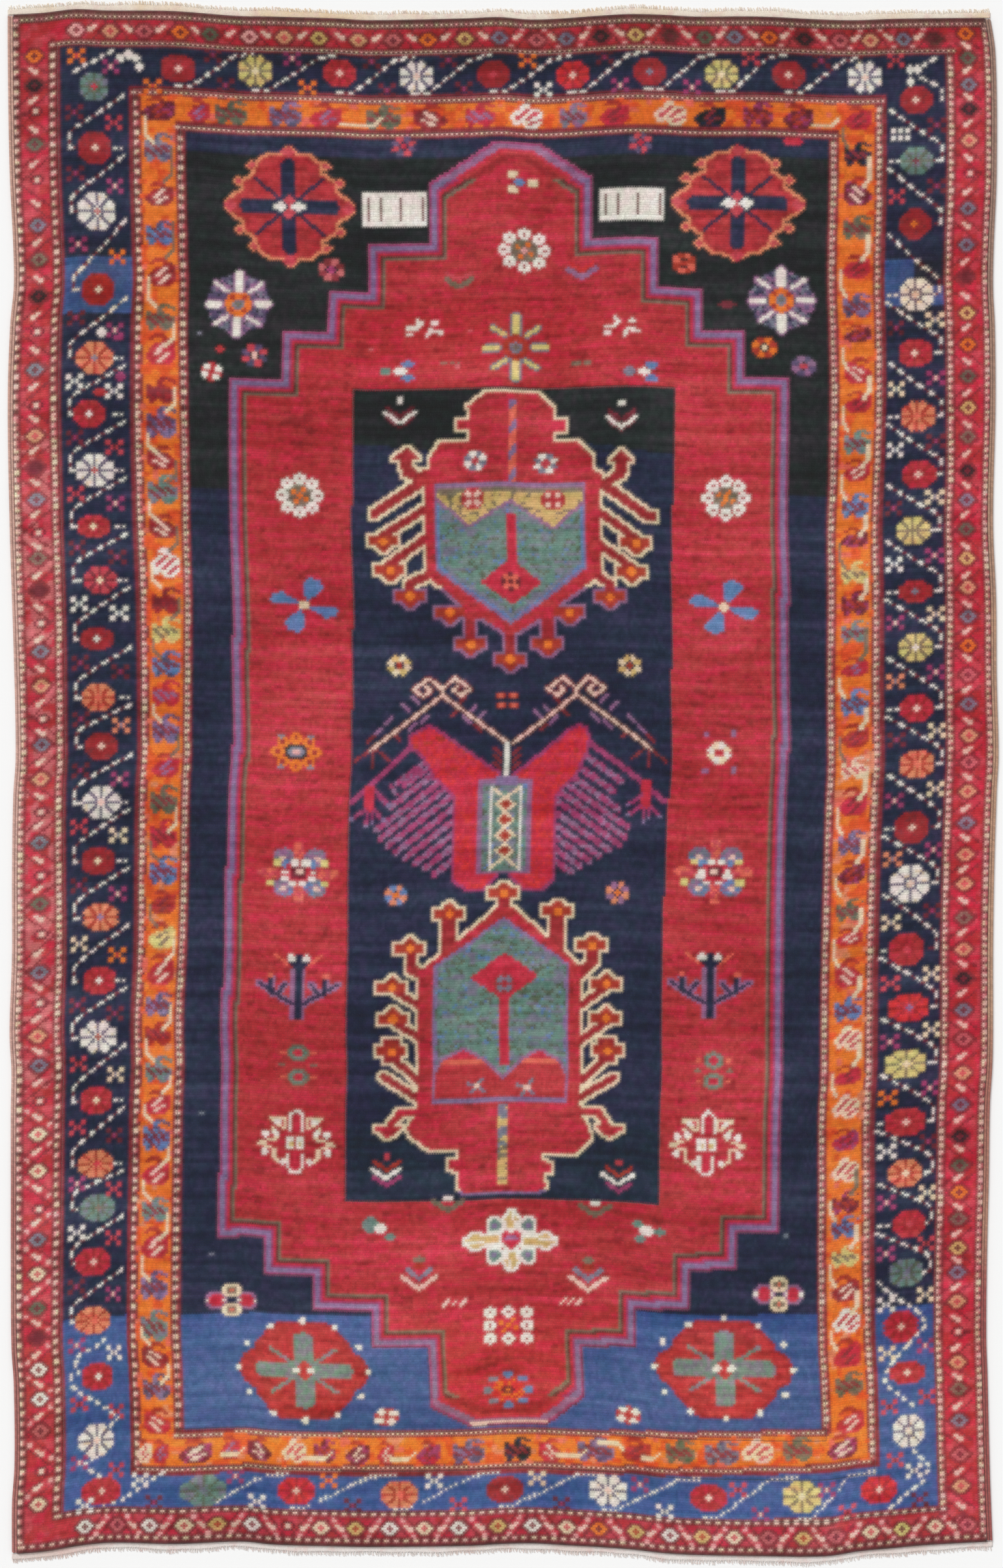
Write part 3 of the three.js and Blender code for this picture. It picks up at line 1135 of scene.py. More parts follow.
# A large ivory and green flower of four blades and four leaves
CROSS_FLOWER = """
teal/ivory ring 9.8 8.6 4 0.5 2.6 2.6
lilac ring 9.8 8.6 4 0.5 1 1.2
camel/ivory shape -2 -3 -2.6 -8.5 0 -12.5 2.6 -8.5 2 -3
ivory line 1 -2 -3 2 -3 0 -12.5
camel/ivory shape 2 3 2.6 9 0 13 -2.6 9 -2 3
ivory line 1 2 3 -2 3 0 13
camel/ivory shape -3 -2 -15.5 -2.6 -19.5 0 -15.5 2.6 -3 2
ivory line 1 -3 -2 -3 2 -19.5 0
camel/ivory shape 3 2 14.5 2.6 18.5 0 14.5 -2.6 3 -2
ivory line 1 3 2 3 -2 18.5 0
crimson/ivory shape -4.4 -2 -2 -4 0 -2.6 2 -4 4.4 -2 3.4 1.6 0 4.8 -3.4 1.6
mauve oval 0 -0.8 2.8 1.3
"""
# Blue dots round an orange ring
DOTTED_FLOWER = """
scarlet+orange:0.3 oval 0 0 7 5
sky ring 8.4 6.2 8 0 2 1.4
slate oval -5.94 4.384 2 1.4 -8.4 0 2 1.4 -5.94 -4.384 2 1.4
maroon oval 0 0 2.6 1.8
orange oval 0 0 1.2 0.9
"""
ORANGE_RING = """
orange ring 7.4 5.6 8 0 2.7 2.3
deep_madder ring 7.4 5.6 8 0 1 0.9
slate/night oval 0 0 3.4 2.4
pink oval 0 0 1.3 1
slate ring 8.6 9 4 0.5 1.2 1
"""
VEES = """
bead line 1.7 -7.2 0 0 5.2 7.2 0
slate line 2 -5 -3 0 1 5 -3
rust oval 0 -4.4 2.2 1.6
olive oval 0 -7 2.4 1.4
"""
# Small marks in the medallion, counted over the whole chart
MEDALLION_MARKS = """
rose line 1.4 174 104.5 179 107.5 184 104.5
olive line 2.2 173.5 107 179 110.4 184.5 107
scarlet line 1.4 224 101 229 104 234 101
mauve line 2.2 223.5 103.5 229 106.9 234.5 103.5
teal oval 150 144.5 2.4 1.9
slate oval 248.5 146 2.4 1.9
olive box 172 141 175 142 176 141 178 142 179 141 180 142
olive box 225 141 229 143 230 141 233 143
dusty_rose oval 184 128.5 0.8 0.8 144 135.5 0.8 0.8 179 143 0.8 1.3
olive line 2.2 170 486 176 489.8 182 486
olive line 2.2 230 488 236 491.8 242 488
ivory oval 176 485.1 1.9 1 236 487.1 1.9 1
teal oval 144.5 495.5 3.4 3.2 152.5 500.5 2.4 1.8
ivory oval 148.5 497 2.1 2.1 257 497 2.6 2
teal oval 253.5 494.5 2.4 1.4 262.5 497 2.6 1.6 254.5 500.5 2.4 1.5
"""
# Motifs of the medallion, with the places of their middles
MEDALLION_MOTIFS = [
    (MEDALLION_MARKS, "0 0"), (SIX_PETALS, "203.5 67.5"), (HOOKS, "165 127.5 245 128"),
    (EYED_LEAVES, "156 144.5 254.5 146"), (ORANGE_RING, "111.5 302"), (TREE, "114.3 385 281.2 382"),
    (GREEN_RING, "114.3 425.5 114.3 435.5 283 426 283 434.5"),
    ("olive oval* 6.5 0 1.4 1", "114.3 430.5 283 430.25"),
    (OUTLINE_FLOWER, "114 463 281.5 461"), (CROSS_FLOWER, "202 503"), (VEES, "164.5 516.8 233.5 517.5"),
    (DOTTED_FLOWER, "200 564.5"), ("mauve oval 0 0 1.4 1.2", "278 293 289 292.5 277.5 308 289 307.5"),
    ("bead line 1.1 -1 1 1 -1", "175.6 528 179 528 182.4 528 223.1 527.7 226.5 527.7 229.9 527.7"),
]


def tie_all(motifs):
    for steps, middles in motifs:
        for column, row in path(middles):
            tie(steps, column, row)


def lay_medallion_motifs():
    loop_ring(205.5, 95.5, 10.5, 9, "olive", "pink")
    star(202.5, 135.6, "yellow", None, "rust", "slate")
    loop_ring(115.5, 196.5, 9.4, 9, "olive", "orange")
    loop_ring(288, 196.5, 9.4, 9, "olive", "orange")
    pinwheel(116, 241.5)
    pinwheel(286, 241)
    tie_rosettes("283 300.5 5.2 ivory cream madder")
    lozenge_flower(114.5, 351.5)
    lozenge_flower(283, 349)
    loop_ring(201, 538, 10, 7.8, "crimson", "orange", square=True)
    tie_all(MEDALLION_MOTIFS)


# A quarter of the corner medallions' outline, in parts of their half width and half height
UPPER_CORNER = path("""
    0.0 -1.0 0.14 -0.88 0.36 -0.84 0.53 -0.66 0.5 -0.56 0.73 -0.4 0.68 -0.3 0.86 -0.16 1.0 0.0
""")
LOWER_CORNER = path("""
    0.0 -1.0 0.36 -1.0 0.5 -0.86 0.7 -0.56 0.73 -0.42 0.9 -0.26 0.94 -0.12 1.0 0.0
""")


def corner_medallion(column, row, wide, tall, quarter, cross, rim, arms):
    """A lobed red medallion with an upright cross, four thin arms and a small heart."""
    side = [(column + across * wide, row + along * tall) for across, along in quarter]
    side += [(c, 2 * row - r) for c, r in side[-2::-1]]
    body = shape(side + mirrored(column, side)[::-1])
    rimmed("madder", shrink(body), rim)
    mottle("deep madder", shrink(body), 0.35, STREAKS)
    if rim == "apricot":
        for across, along in ((0.53, 0.66), (0.73, 0.4)):
            for c in (column - across * wide, column + across * wide):
                for r in (row - along * tall, row + along * tall):
                    dye(rim, diamond_knots(c, r, 2.8, 2.4))
                    dye("rose", diamond_knots(c, r, 1.8, 1.5))
    across, along = 0.48 * wide, 0.44 * tall
    for lean in (-along, along):
        dye(cross, line([(column - across, row - lean), (column + across, row + lean)], 1.5))
    half_wide, half_tall = arms
    dye(cross, box(column - half_wide, row - tall * 0.68, column + half_wide, row + tall * 0.7))
    dye(cross, box(column - wide * 0.64, row - half_tall, column + wide * 0.64, row + half_tall))
    for side in (-1, 1):
        dye(cross, oval(column, row + side * tall * 0.68, half_wide, tall * 0.1))
        dye(cross, oval(column + side * wide * 0.64, row, wide * 0.08, half_tall))


def lay_corners():
    for column, row, wide, tall in ((110.4, 78, 28, 25.5), (291.8, 76.2, 28.5, 24.5)):
        corner_medallion(column, row, wide, tall, UPPER_CORNER, "navy", "apricot", (3, 3))
        for c, r in ((column, row - tall + 3), (column - wide + 4, row),
                     (column + wide - 4, row), (column, row + tall - 3)):
            diamond("rose", c, r, 3, 2.8)
        for side in (-1, 1):
            diamond("ivory", column + side * 3.6, row, 3.4, 2.4)
        diamond("rose", column, row - 2.8, 2.4, 2.6)
        diamond("rose", column, row + 2.8, 2.8, 2.8)
    for column, row, wide, tall in ((116.8, 556, 27.5, 20), (288.8, 551.8, 29.5, 20)):
        corner_medallion(column, row, wide, tall, LOWER_CORNER, "teal", "deep madder", (4, 3.4))
        around = box(column - 27, row - 20, column + 27, row + 20)
        mottle("slate", around & (chart == YARNS.index("teal")), 0.4)
        diamond("madder", column, row, 5, 4.4)
        for side in (-1, 1):
            dye("ivory", oval(column + side * 3, row, 1.8, 1.5))
        for c, r in spin(column, row, (wide - 1, tall + 0.5), 12):
            dye("ivory", oval(c, r, 1.3, 1.2))
    star(89.6, 118.7, "ivory", "plum", "orange", "slate", "mauve")
    star(310, 115.5, "ivory", "plum", "orange", "slate", "mauve")
    for left, top, right, bottom in ((140, 71.5, 166, 85), (236, 71, 262, 84)):
        dye("ivory", box(left, top, right, bottom))
        for across in (left + 2.5, left + 7.5, left + 15.5, right - 1.5):
            dye("umber", line([(across, top + 2), (across, bottom - 2)], 0.9))
    tie_rosettes(FIELD_ROSETTES)
    for column, row in ((79.5, 147), (150, 574.5), (249, 573)):
        dye("madder", oval(column, row, 5, 3.6))
        for c, r in spin(column, row, (3.6, 2.6), 4, math.pi / 4 + 0.2):
            dye("ivory", oval(c, r, 1.7, 1.3))
    tie(FIELD_MARKS)
    tie(PAIRED_RINGS, 88, 528.5)
    tie(PAIRED_RINGS, 311.5, 521)


FIELD_ROSETTES = """
157 52 5 plum rose crimson
252.5 52.5 5 plum rose crimson
127 103.5 5.8 dusty_rose wine magenta
270.5 101 5.4 salmon rust rust
97 139.5 5.6 plum rose bead
303 135 5.2 orange rust cream
318.5 142 5 plum mauve rose
"""
FIELD_MARKS = """
crimson oval 314 50.5 3.6 2
madder oval 83 137.5 1.9 1.6
maroon oval 288 117.5 4 1.2
slate oval 74 131.5 0.8 0.8 80 509.5 0.8 0.8 76 451.5 0.8 0.8 314 497 0.8 0.8
"""
PAIRED_RINGS = """
crimson/mauve oval* 6 0 3.2 3
cream oval 0 -4 4 3
olive oval 0 -4 2.2 1.6
salmon oval 0 -4 1.1 0.9
cream oval 0 4 4 3
olive oval 0 4 2.2 1.6
salmon oval 0 4 1.1 0.9
ivory oval* 9.5 0 1 0.9 3 0 1 0.9
"""


def head(column, row, point):
    """The mask of one arrow head: a bar with a point on one side. Point is 1 for down, -1 for up."""
    bar = shape([(column - 6, row - 2 * point), (column + 6, row - 2 * point),
                 (column + 6, row + 2 * point), (column - 6, row + 2 * point)])
    tip = [(column - 4, row + 1.5 * point), (column, row + 5 * point), (column + 4, row + 1.5 * point)]
    return bar | shape(tip)


def quartered(column, row, petals, ground, reach=4.6):
    """A small pinwheel of four light petals on a round ground."""
    dye(ground, oval(column, row, reach, reach * 0.9))
    for c, r in spin(column, row, (reach * 0.55, reach * 0.55), 4, math.pi / 4):
        dye(petals, oval(c, r, 1.5, 1.3))


def lay_green(chosen):
    """The mottled green of the shields."""
    dye("teal", chosen)
    mottle("moss", chosen, 0.2)
    mottle("slate", chosen, 0.2, STREAKS, turn=2)
    mottle("sky", chosen, 0.06, turn=4)


def lay_red(chosen):
    """The streaked red of the shields."""
    dye("madder", chosen)
    mottle("crimson", chosen, 0.4, STREAKS, turn=1)
    mottle("deep madder", chosen, 0.12, STREAKS, turn=4)


def lay_shield(arms, bulk, heads, point, turning_row, near_rim):
    """A red figure whose arms end in arrow heads. Its rim is cream, and past a row of another yarn."""
    figure = arms | bulk
    for column, row in heads:
        figure |= head(column, row, point)
    rim = grow(figure) & ~figure
    dye("cream", rim)
    dye(near_rim, rim & (ROWS >= turning_row))
    lay_red(figure)
    dye("deep madder", arms & ~bulk)
    for column, row in heads:
        dye("rust", head(column, row, point))
        dye("orange", oval(column, row, 1.7, 1.6))


UPPER_BULK = """
shape 190 154.5 183.5 159.5 184 164.5 179 165 179 169 184 169 184 174 172.5 174 168.5 180 \
168.5 184.5 163 186 \
163 192 238 192 238 188 234.5 186 233.5 180 228 174.5 218.5 174.5 218.5 170 223 170 223 165 \
218 165 217.5 160 212 154.5
shape 166 190 166 228.5 180 241 181 247 188 247 199.5 254.5 211 247 216 247 219 241 237 229 236.5 190
"""
UPPER_ARMS = """
line 4 166 189.5 145.5 203
line 4 236 190.5 256 205 258.5 205.2
line 3.4 166 201.5 149 212
line 3.4 166 213.5 151 224
line 3.4 236 203 251 214
line 3.4 236 216.5 249 226
line 3.6 168 228 159 232 159 236
line 3.6 234 229 240 233 240 237
line 4 183.2 246 183.2 256
line 4 214.5 246 214.5 256
line 4 199.2 250 199.2 262
shape 158.8 175.5 153.3 180.5 155.8 180.7 156.8 187.5 162.8 190.5 160.8 180.9 164.3 180.5
line 4 158.8 179.5 158.8 185.5 164.8 189
shape 245.5 178 240 183 242.5 183.2 244.5 190 241.5 193 247.5 183.4 251 183
line 4 245.5 182 245.5 188 239.5 191.5
"""
UPPER_HEADS = path("""
149 214.5 151.5 226.5 159 237 175 244 183.2 257.5 199 264 214.5 257.5 223.5 244.5 240 238.5 \
249 228 251.5 216.5
""")
ARROW = """
ivory oval 0 0 1.4 1.2
maroon line 1.3 -5 3 0 6.8 5 3
maroon line 1.3 -5 4.6 0 8.4 5 4.6
maroon line 1.3 -5 7.4 0 11.2 5 7.4
"""


def lay_upper_shield():
    lay_shield(gathered(UPPER_ARMS), gathered(UPPER_BULK), UPPER_HEADS, 1, 234, "mauve")
    pole = box(200, 157, 203.5, 192)
    dye("salmon", pole)
    dye("lilac", pole & (np.sin(ROWS * 0.62 + COLUMNS * 0.8) > 0.35))
    tie_rosettes("186.5 182 5 slate ivory rose")
    tie_rosettes("215 183 5 slate ivory rose")
    panel = shape(path("170.5 191.5 170.5 227 199.5 250 231.5 226 231.5 191.5"))
    dye("lilac", panel)
    field = shrink(panel)
    lay_green(field)
    dye("sky", field & ~shrink(field) & (ROWS > 200))
    tie("slate line* 1.6 0 16 24 -2", 200, 230)
    wave = shape(path("171.5 193 171.5 197 184 208 201 198 218 209 230.5 198 230.5 193"))
    rimmed("camel", wave, "mauve")
    mottle("olive", wave, 0.2)
    dye("olive", wave & (ROWS < 195))
    quartered(185.5, 197.5, "bead", "madder", 5)
    quartered(218, 198, "bead", "madder", 5)
    tie("crimson box 199.2 204.5 203 224")
    tie("crimson shape 187.5 232 200.5 222.5 212.5 232 200.5 241.5")
    quartered(200, 232, "salmon", "maroon", 4)
    tie(ARROW + "ivory line 1.4 -6 5 0 9.4 6 5", 156, 156.5)
    tie(ARROW + "ivory line 1.4 -6 5.5 0 9.9 6 5.5", 245.5, 159)
    tie_rosettes("154 265.5 5 cream camel rust")
    tie_rosettes("247.5 266.5 5 cream camel rust")


# Bars of the fans beside the wings: outer end's column and row, and the column they start from
LEFT_FAN = """
153 314 165
156 315 167
151 323.4 171
145.6 333 173
147 336.6 176
149.8 339.6 178
153.2 342.4 178
157 344.8 178
161.2 347 178
165.2 349.2 178
169.2 351.6 178
"""
RIGHT_FAN = """
243.6 313.7 228
240.6 317.7 227
243.1 325.3 224
247.2 332.8 220
246.2 336.8 218
243.6 339.6 216
239.8 342 216
235.8 344.3 216
232 346.6 216
228.2 348.8 216
224.4 351 216
"""
# Short strokes beside the outer stems: middle, and how far each leans to the right as it rises
FEATHERS = """
-11 3 -1
-15 6 -1
-22 11 1
-26.5 15.5 1
-29.5 19 1
-7.5 10.5 1
-12.5 13.5 1
-19 17.5 -1
8 3.5 1
12 7 1
15.5 9.5 1
5 8.5 1
9.5 11.5 -1
14 14.5 -1
"""
CURLED_STEMS = """
brown line 2.4 -29.5 22.2 0 0 26 20.4
wine line 1.2 -29.5 22.2 -36 27
wine line 1.2 -29 22 -29 29
wine line 1.2 -28 21.6 -22 26.4
bead line 1.2 -29.5 22.2 0 0 26 20.4
bead line* 1.2 0 0.5 0 -2.5 5.2 -7 11.6 -2.4 7.6 0.4 4.6 -2 6.4 -3.4
"""
WINGS = [
    path("""157.6 295 165.2 291.3 168.5 293 194 311.5 194 352 189 358 183 358 177 354 177 319
        168.3 311.4 166 306.6
            162 301.2 158 299"""),
    path("""230 297 229 292.6 226.5 291.3 223 293 201 311.5 200.5 352.5 205 358 212 358 216.5 354 217 320.3
            219 317 224 311.6 228.6 302.2"""),
]
LEFT_FINGERS = read_rows("""
1 -1 8 6
-2 8 -7 12
-0.9 9 -1 14.5
1.2 9 1.2 13
2 8 5.6 12
""")
RIGHT_FINGERS = [[-1, 3, -7, 8]] + LEFT_FINGERS[1:]
BODY = """
lilac box 193 312.5 202 316.5
ivory line 1.2 191.5 317 191.5 350
ivory line 1.2 203.2 317 203.2 350
cream diamond 197.4 323.6 4.4 3.7 197.4 330 4.4 3.7 197.4 336.4 4.4 3.7 197.4 342.8 4.4 3.7
rust diamond 197.4 323.6 2.8 2.3 197.4 330 2.8 2.3 197.4 336.4 2.8 2.3 197.4 342.8 2.8 2.3
cream line 1.2 192 317 197.3 321 202.6 317
cream line 1.2 192 349.5 197.3 345.5 202.6 349.5
"""


def lay_middle():
    for joint, side in ((171.2, 1), (225.6, -1)):
        tie("maroon line* 2.6 0 0.5 0 -2.5 5.2 -7 11.6 -2.4 7.6 0.4 4.6 -2 6.4 -3.4", joint, 278)
        for across, along, lean in read_rows(FEATHERS):
            c, r = joint + side * across, 277 + along
            lean *= side
            yarn = "mauve" if (across + along) % 3 < 1.5 else "wine"
            dye(yarn, line([(c - lean * 1.4, r + 1.4), (c + lean * 1.4, r - 1.4)], 1.3))
        tie(CURLED_STEMS, joint, 278, side)
    tie("ivory line 1.5 197 298.5 197 313")
    for step in range(4):
        tie("wine line* 1.2 2.2 3 5 0.2", 197, 300.5 + step * 2.8)
    tie("rust ring 3.6 2.8 4 0.5 1.7 1.4", 197.5, 281)
    tie("salmon ring 3.6 2.8 4 0.5 0.8 0.8", 197.5, 281)
    bars = gathered("line 2 145 317.5 151 324") | gathered("line 1.6 150.5 315 153 318.5")
    for fan, slope in ((LEFT_FAN, -0.78), (RIGHT_FAN, 0.7)):
        for column, row, start in read_rows(fan):
            bars |= line([(column, row), (start, row + (start - column) * slope)], 2.6)
    dye("magenta", bars)
    mottle("mauve", bars, 0.45)
    for wing in WINGS:
        rimmed("crimson", shape(wing), "magenta")
        mottle("scarlet", shape(wing), 0.35)
        mottle("rust", shape(wing) & (ROWS < 316), 0.06, STREAKS)
    for hand, top, shoulder, tip, fingers in (
        (142.2, 315, (158.2, 299), (134.6, 322), LEFT_FINGERS),
        (254.3, 313.5, (230, 297.6), (261.6, 321), RIGHT_FINGERS),
    ):
        dye("magenta", line([shoulder, tip], 2.2))
        dye("crimson", box(hand - 1.9, top, hand + 1.9, top + 11.5))
        for finger in fingers:
            dye("magenta", form_knots("line", [1.5] + finger, hand, top + 2))
            dye("lilac", oval(hand + finger[2], top + finger[3] + 2, 0.9, 0.9))
        dye("crimson", box(hand - 1.5, top, hand + 1.5, top + 10))
    dye("mauve", box(186.5, 313, 208, 352.5))
    lay_green(box(188.5, 315.5, 206.5, 351))
    tie(BODY)
    tie_rosettes("153.5 360 5.2 apricot sky orange")
    tie_rosettes("243.5 359.5 5.2 apricot mauve orange")


LOWER_BULK = """
shape 194.5 366.5 163.5 391.5 163.5 447 229.5 447 229.5 390.5 201 366
shape 165 447 158.5 456 161 459.5 168.5 465 180.5 465 180.5 469 176 469.5 176 473 180.5 474 \
180 480 182.5 482.5 \
212 483.5 216 480.5 214.5 475 218.5 474.5 218.5 471 214.5 470 214.5 467 227.5 467 234.5 460 232 454 227.5 447
"""
LOWER_ARMS = """
line 4.4 197.5 360 197.5 372
line 5 175 366 175 386
line 5 219 366 219 386
line 4.6 159.8 381 159.8 390 166 394
line 4.6 233.6 381 233.6 388 228 393
line 3 153 399 165 406.5
line 3 154 412.5 165 419.5
line 3 153.5 428 169 441
line 3 149 434.5 170 448
line 3 239.5 398 228 406.5
line 3 239.5 412.5 228 421
line 3 240 427 225 440.5
line 3 243 435 222 448
box 149 419.5 156.5 429 236 419.5 243.5 429
"""
LOWER_HEADS = path("""
197.5 360.5 175.5 368 219.5 367.5 159.5 382 233.5 381.5 152.5 398 239.5 397 153 411 239.5 411 \
152.5 424.5 240 424.5
""")
FOOT = read_row("-6.4 -4.6 0 0 6 -4.8 3 -5.6 5.2 -8.8 14 -9.6 16 -13 4 -12.2 -1 -5.4")
SPRIG = """
slate line 1.4 -4 -1 0 0 2 -3
slate line 1.4 -2 3 0 0 3 2.6
bead oval 0 0 1.5 1.4
"""
CHEVRONS = """
rose oval 0 0 1.5 1.2
rust line 1.5 -5 2.2 0 5.6 5 2.2
ivory line 1.6 -6.7 4.8 -0.5 8.8 5.7 4.8
magenta line 1.6 -5 8.4 0 11.8 5 8.4
"""


def lay_lower_shield():
    bulk = gathered(LOWER_BULK)
    for column, side in ((151.4, 1), (241.4, -1)):
        bulk |= form_knots("shape", FOOT, column, 460.2, side)
    lay_shield(gathered(LOWER_ARMS), bulk, LOWER_HEADS, -1, 482, "lilac")
    panel = shape(path("197.5 370 169 389.5 169 446 224.5 446 224.5 389"))
    dye("lilac", panel)
    field = shrink(panel)
    lay_green(field)
    mottle("lilac", field & ~shrink(field) & (ROWS > 391), 0.5, BLOTS)
    humps = shape(path("""
        170 444.5 170 434 172.5 429 181.5 424 190 429 197.5 437 204 430 212 424.5 220.5 429.5
        223 435 223 444.5
    """))
    rimmed("madder", humps, "mauve")
    dye("crimson", humps & (ROWS < 428.5))
    dye("salmon", humps & (ROWS >= 428.5) & (ROWS < 430.5))
    tie("crimson shape 184 394.5 198 384.5 212 394 198 404.5")
    tie("crimson box 196 403 200 431")
    quartered(198, 397.5, "slate", "deep madder", 4.6)
    tie(SPRIG, 187, 439)
    tie(SPRIG, 207.5, 440)
    tie("lilac line 1.4 172 445 223 445")
    tie("camel box 196 447 199.6 480.5")
    mottle("slate", box(196, 447, 199.6, 470), 0.5, STREAKS)
    mottle("olive", box(196, 460, 199.6, 480), 0.3, STREAKS, turn=1)
    tie(CHEVRONS, 151, 467.5)
    tie(CHEVRONS, 245.5, 470)


def weave_chart():
    lay_grounds()
    lay_guards()
    lay_blue_border()
    lay_red_border()
    lay_orange_border()
    lay_medallion()
    lay_medallion_motifs()
    lay_corners()
    lay_upper_shield()
    lay_middle()
    lay_lower_shield()

# Outline of the rug

# Mean lines: the outer sides of the side cords and the two ends of the pile
LEFT_LINE = -0.807
RIGHT_LINE = 0.805
FAR_LINE = 1.258
NEAR_LINE = -1.254
CORD_WIDTH = 0.0046
SEAM = 0.0003
INSET = 2 * CORD_WIDTH + SEAM

# How far the sides wander towards the right, in millimetres: place along, left side, right side
SIDE_DRIFT = read_rows("""
-1270 1 0
-1174 1 -4
-1110 5 -6
-981 4 -9
-917 0 -11
-789 -1 -10
-661 -1 -7
-532 -1 -5
-468 0 -1
-404 -3 0
-276 1 0
-148 1 2
-19 3 6
45 7 9
173 5 6
301 1 5
430 -3 0
622 -6 4
750 -2 3
815 4 0
879 3 1
1007 -3 6
1199 -6 4
1274 -6 -7
""")
# How far the ends wander towards the far end, in millimetres: place across, far end, near end
END_DRIFT = read_rows("""
-804 3 -12
-750 6 -7
-697 12 2
-644 10 7
-537 9 5
-430 1 9
-376 0 4
-269 -3 1
-216 -6 0
-56 -3 2
-2 -1 5
51 -5 6
105 -3 3
158 1 0
212 4 -4
265 3 -10
319 0 -13
425 0 -15
532 -5 -15
586 -6 -7
639 -4 -2
693 -3 3
800 -2 9
""")


# How far the guard lines of the borders stray to the right, in knots, at these rows. Each line's own
# column is followed by the columns on either side where the straying has died away.
STRAY_ROWS = [0, 50, 100, 150, 190, 240, 295, 350, 400, 450, 500, 560, 628]
STRAYS = [
    (16, 0, 33, [0, -0.5, -0.8, 0.2, 0.6, 0.7, -0.3, 0.8, 1.2, 0.9, 0.3, -0.4, 0]),
    (50, 33, 67, [-0.8, -0.8, -1.4, 0.2, 0.5, 1.1, 0.1, 0.5, 0, -1.2, -2.0, -2.7, -1.5]),
    (67, 50, 82, [0, 0, -0.5, 1.8, 2.5, 2.2, 0.3, 0.8, -0.5, -1.3, -1.9, -2.3, -2.0]),
    (330, 314, 348, [0.6, 0.6, 0.6, 1.4, 1.4, -0.5, -1.6, -1.5, -2.2, -2.2, -1.5, -0.2, 0.5]),
    (348, 330, 364, [0.9, 0.9, 1.4, 1.4, 1.1, -0.2, -1.0, -1.3, -1.8, -2.0, -1.2, 0.6, 0.7]),
    (377, 364, 394, [1.0, 1.0, 1.3, 1.2, 2.1, 0.7, -0.1, -0.3, -0.3, -0.3, -0.4, -0.4, -0.2]),
]


def drift(table, column, places):
    """Smooth value of a drift table between its rows, in metres."""
    at, value = np.array(table, float)[:, [0, column]].T * 0.001
    places = np.clip(places, at[0], at[-1])
    row = np.clip(np.searchsorted(at, places, side="right") - 1, 0, len(at) - 2)
    before = np.maximum(np.arange(len(at)) - 1, 0)
    after = np.minimum(np.arange(len(at)) + 1, len(at) - 1)
    slope = (value[after] - value[before]) / (at[after] - at[before])
    span = at[row + 1] - at[row]
    t = (places - at[row]) / span
    start = value[row] * (2 * t**3 - 3 * t**2 + 1) + slope[row] * span * (t**3 - 2 * t**2 + t)
    end = value[row + 1] * (3 * t**2 - 2 * t**3) + slope[row + 1] * span * (t**3 - t**2)
    return start + end


def left_side(along):
    return LEFT_LINE + drift(SIDE_DRIFT, 1, along)


def right_side(along):
    return RIGHT_LINE + drift(SIDE_DRIFT, 2, along)


def far_end(across):
    return FAR_LINE + drift(END_DRIFT, 1, across)


def near_end(across):
    return NEAR_LINE + drift(END_DRIFT, 2, across)


def lerp(a, b, t):
    return a + (b - a) * t


def lie(columns, rows):
    """Where places of the chart lie on the floor."""
    strays = [
        np.interp(columns, [left, line_column, right], [0, 1, 0]) * np.interp(rows, STRAY_ROWS, knots)
        for line_column, left, right, knots in STRAYS
    ]
    columns = columns + sum(strays)
    u = columns / KNOTS_ACROSS
    v = 1 - rows / KNOTS_ALONG
    straight_x = lerp(LEFT_LINE + INSET, RIGHT_LINE - INSET, u)
    straight_y = lerp(NEAR_LINE, FAR_LINE, v)
    x = lerp(left_side(straight_y) + INSET, right_side(straight_y) - INSET, u)
    y = lerp(near_end(straight_x), far_end(straight_x), v)
    return x, y

# The knotted pile, one face for each knot

PILE_HEIGHT = 0.008
RIM_HEIGHT = 0.0055
RIM_WIDTH = 0.005
SWELL = 0.00045
SWELL_PITCH = 0.310
BACK_HEIGHT = 0.0026
TUFT_WANDER = 0.0004
TUFT_RISE = 0.00016
# Knots to a side of the squares in which a piece's texture map is laid out, and the gap round them
PATCH = 8
PATCH_GAP = 0.3


def corner_grid(step=1):
    """Columns and rows of the corners between knots."""
    across = np.arange(0, KNOTS_ACROSS + 1, step)
    along = np.arange(0, KNOTS_ALONG + 1, step)
    return np.meshgrid(across.astype(float), along.astype(float))


def pile_corners():
    """The top of the pile at each corner between knots."""
    columns, rows = corner_grid()
    x, y = lie(columns, rows)
    wave = 2 * math.pi / SWELL_PITCH
    top = PILE_HEIGHT + SWELL * np.sin(wave * x + 1) * np.sin(wave * 0.7 * y)
    to_side = np.minimum(columns, KNOTS_ACROSS - columns) * 0.00404
    to_end = np.minimum(rows, KNOTS_ALONG - rows) * 0.004
    t = np.clip(np.minimum(to_side, to_end) / RIM_WIDTH, 0, 1)
    inner = (to_side > 0) & (to_end > 0)
    z = lerp(RIM_HEIGHT, top, np.sqrt(t * (2 - t))) + inner * shuffle.normal(0, TUFT_RISE, x.shape)
    x = x + inner * shuffle.uniform(-TUFT_WANDER, TUFT_WANDER, x.shape)
    y = y + inner * shuffle.uniform(-TUFT_WANDER, TUFT_WANDER, x.shape)
    return np.stack([x, y, z], axis=-1)


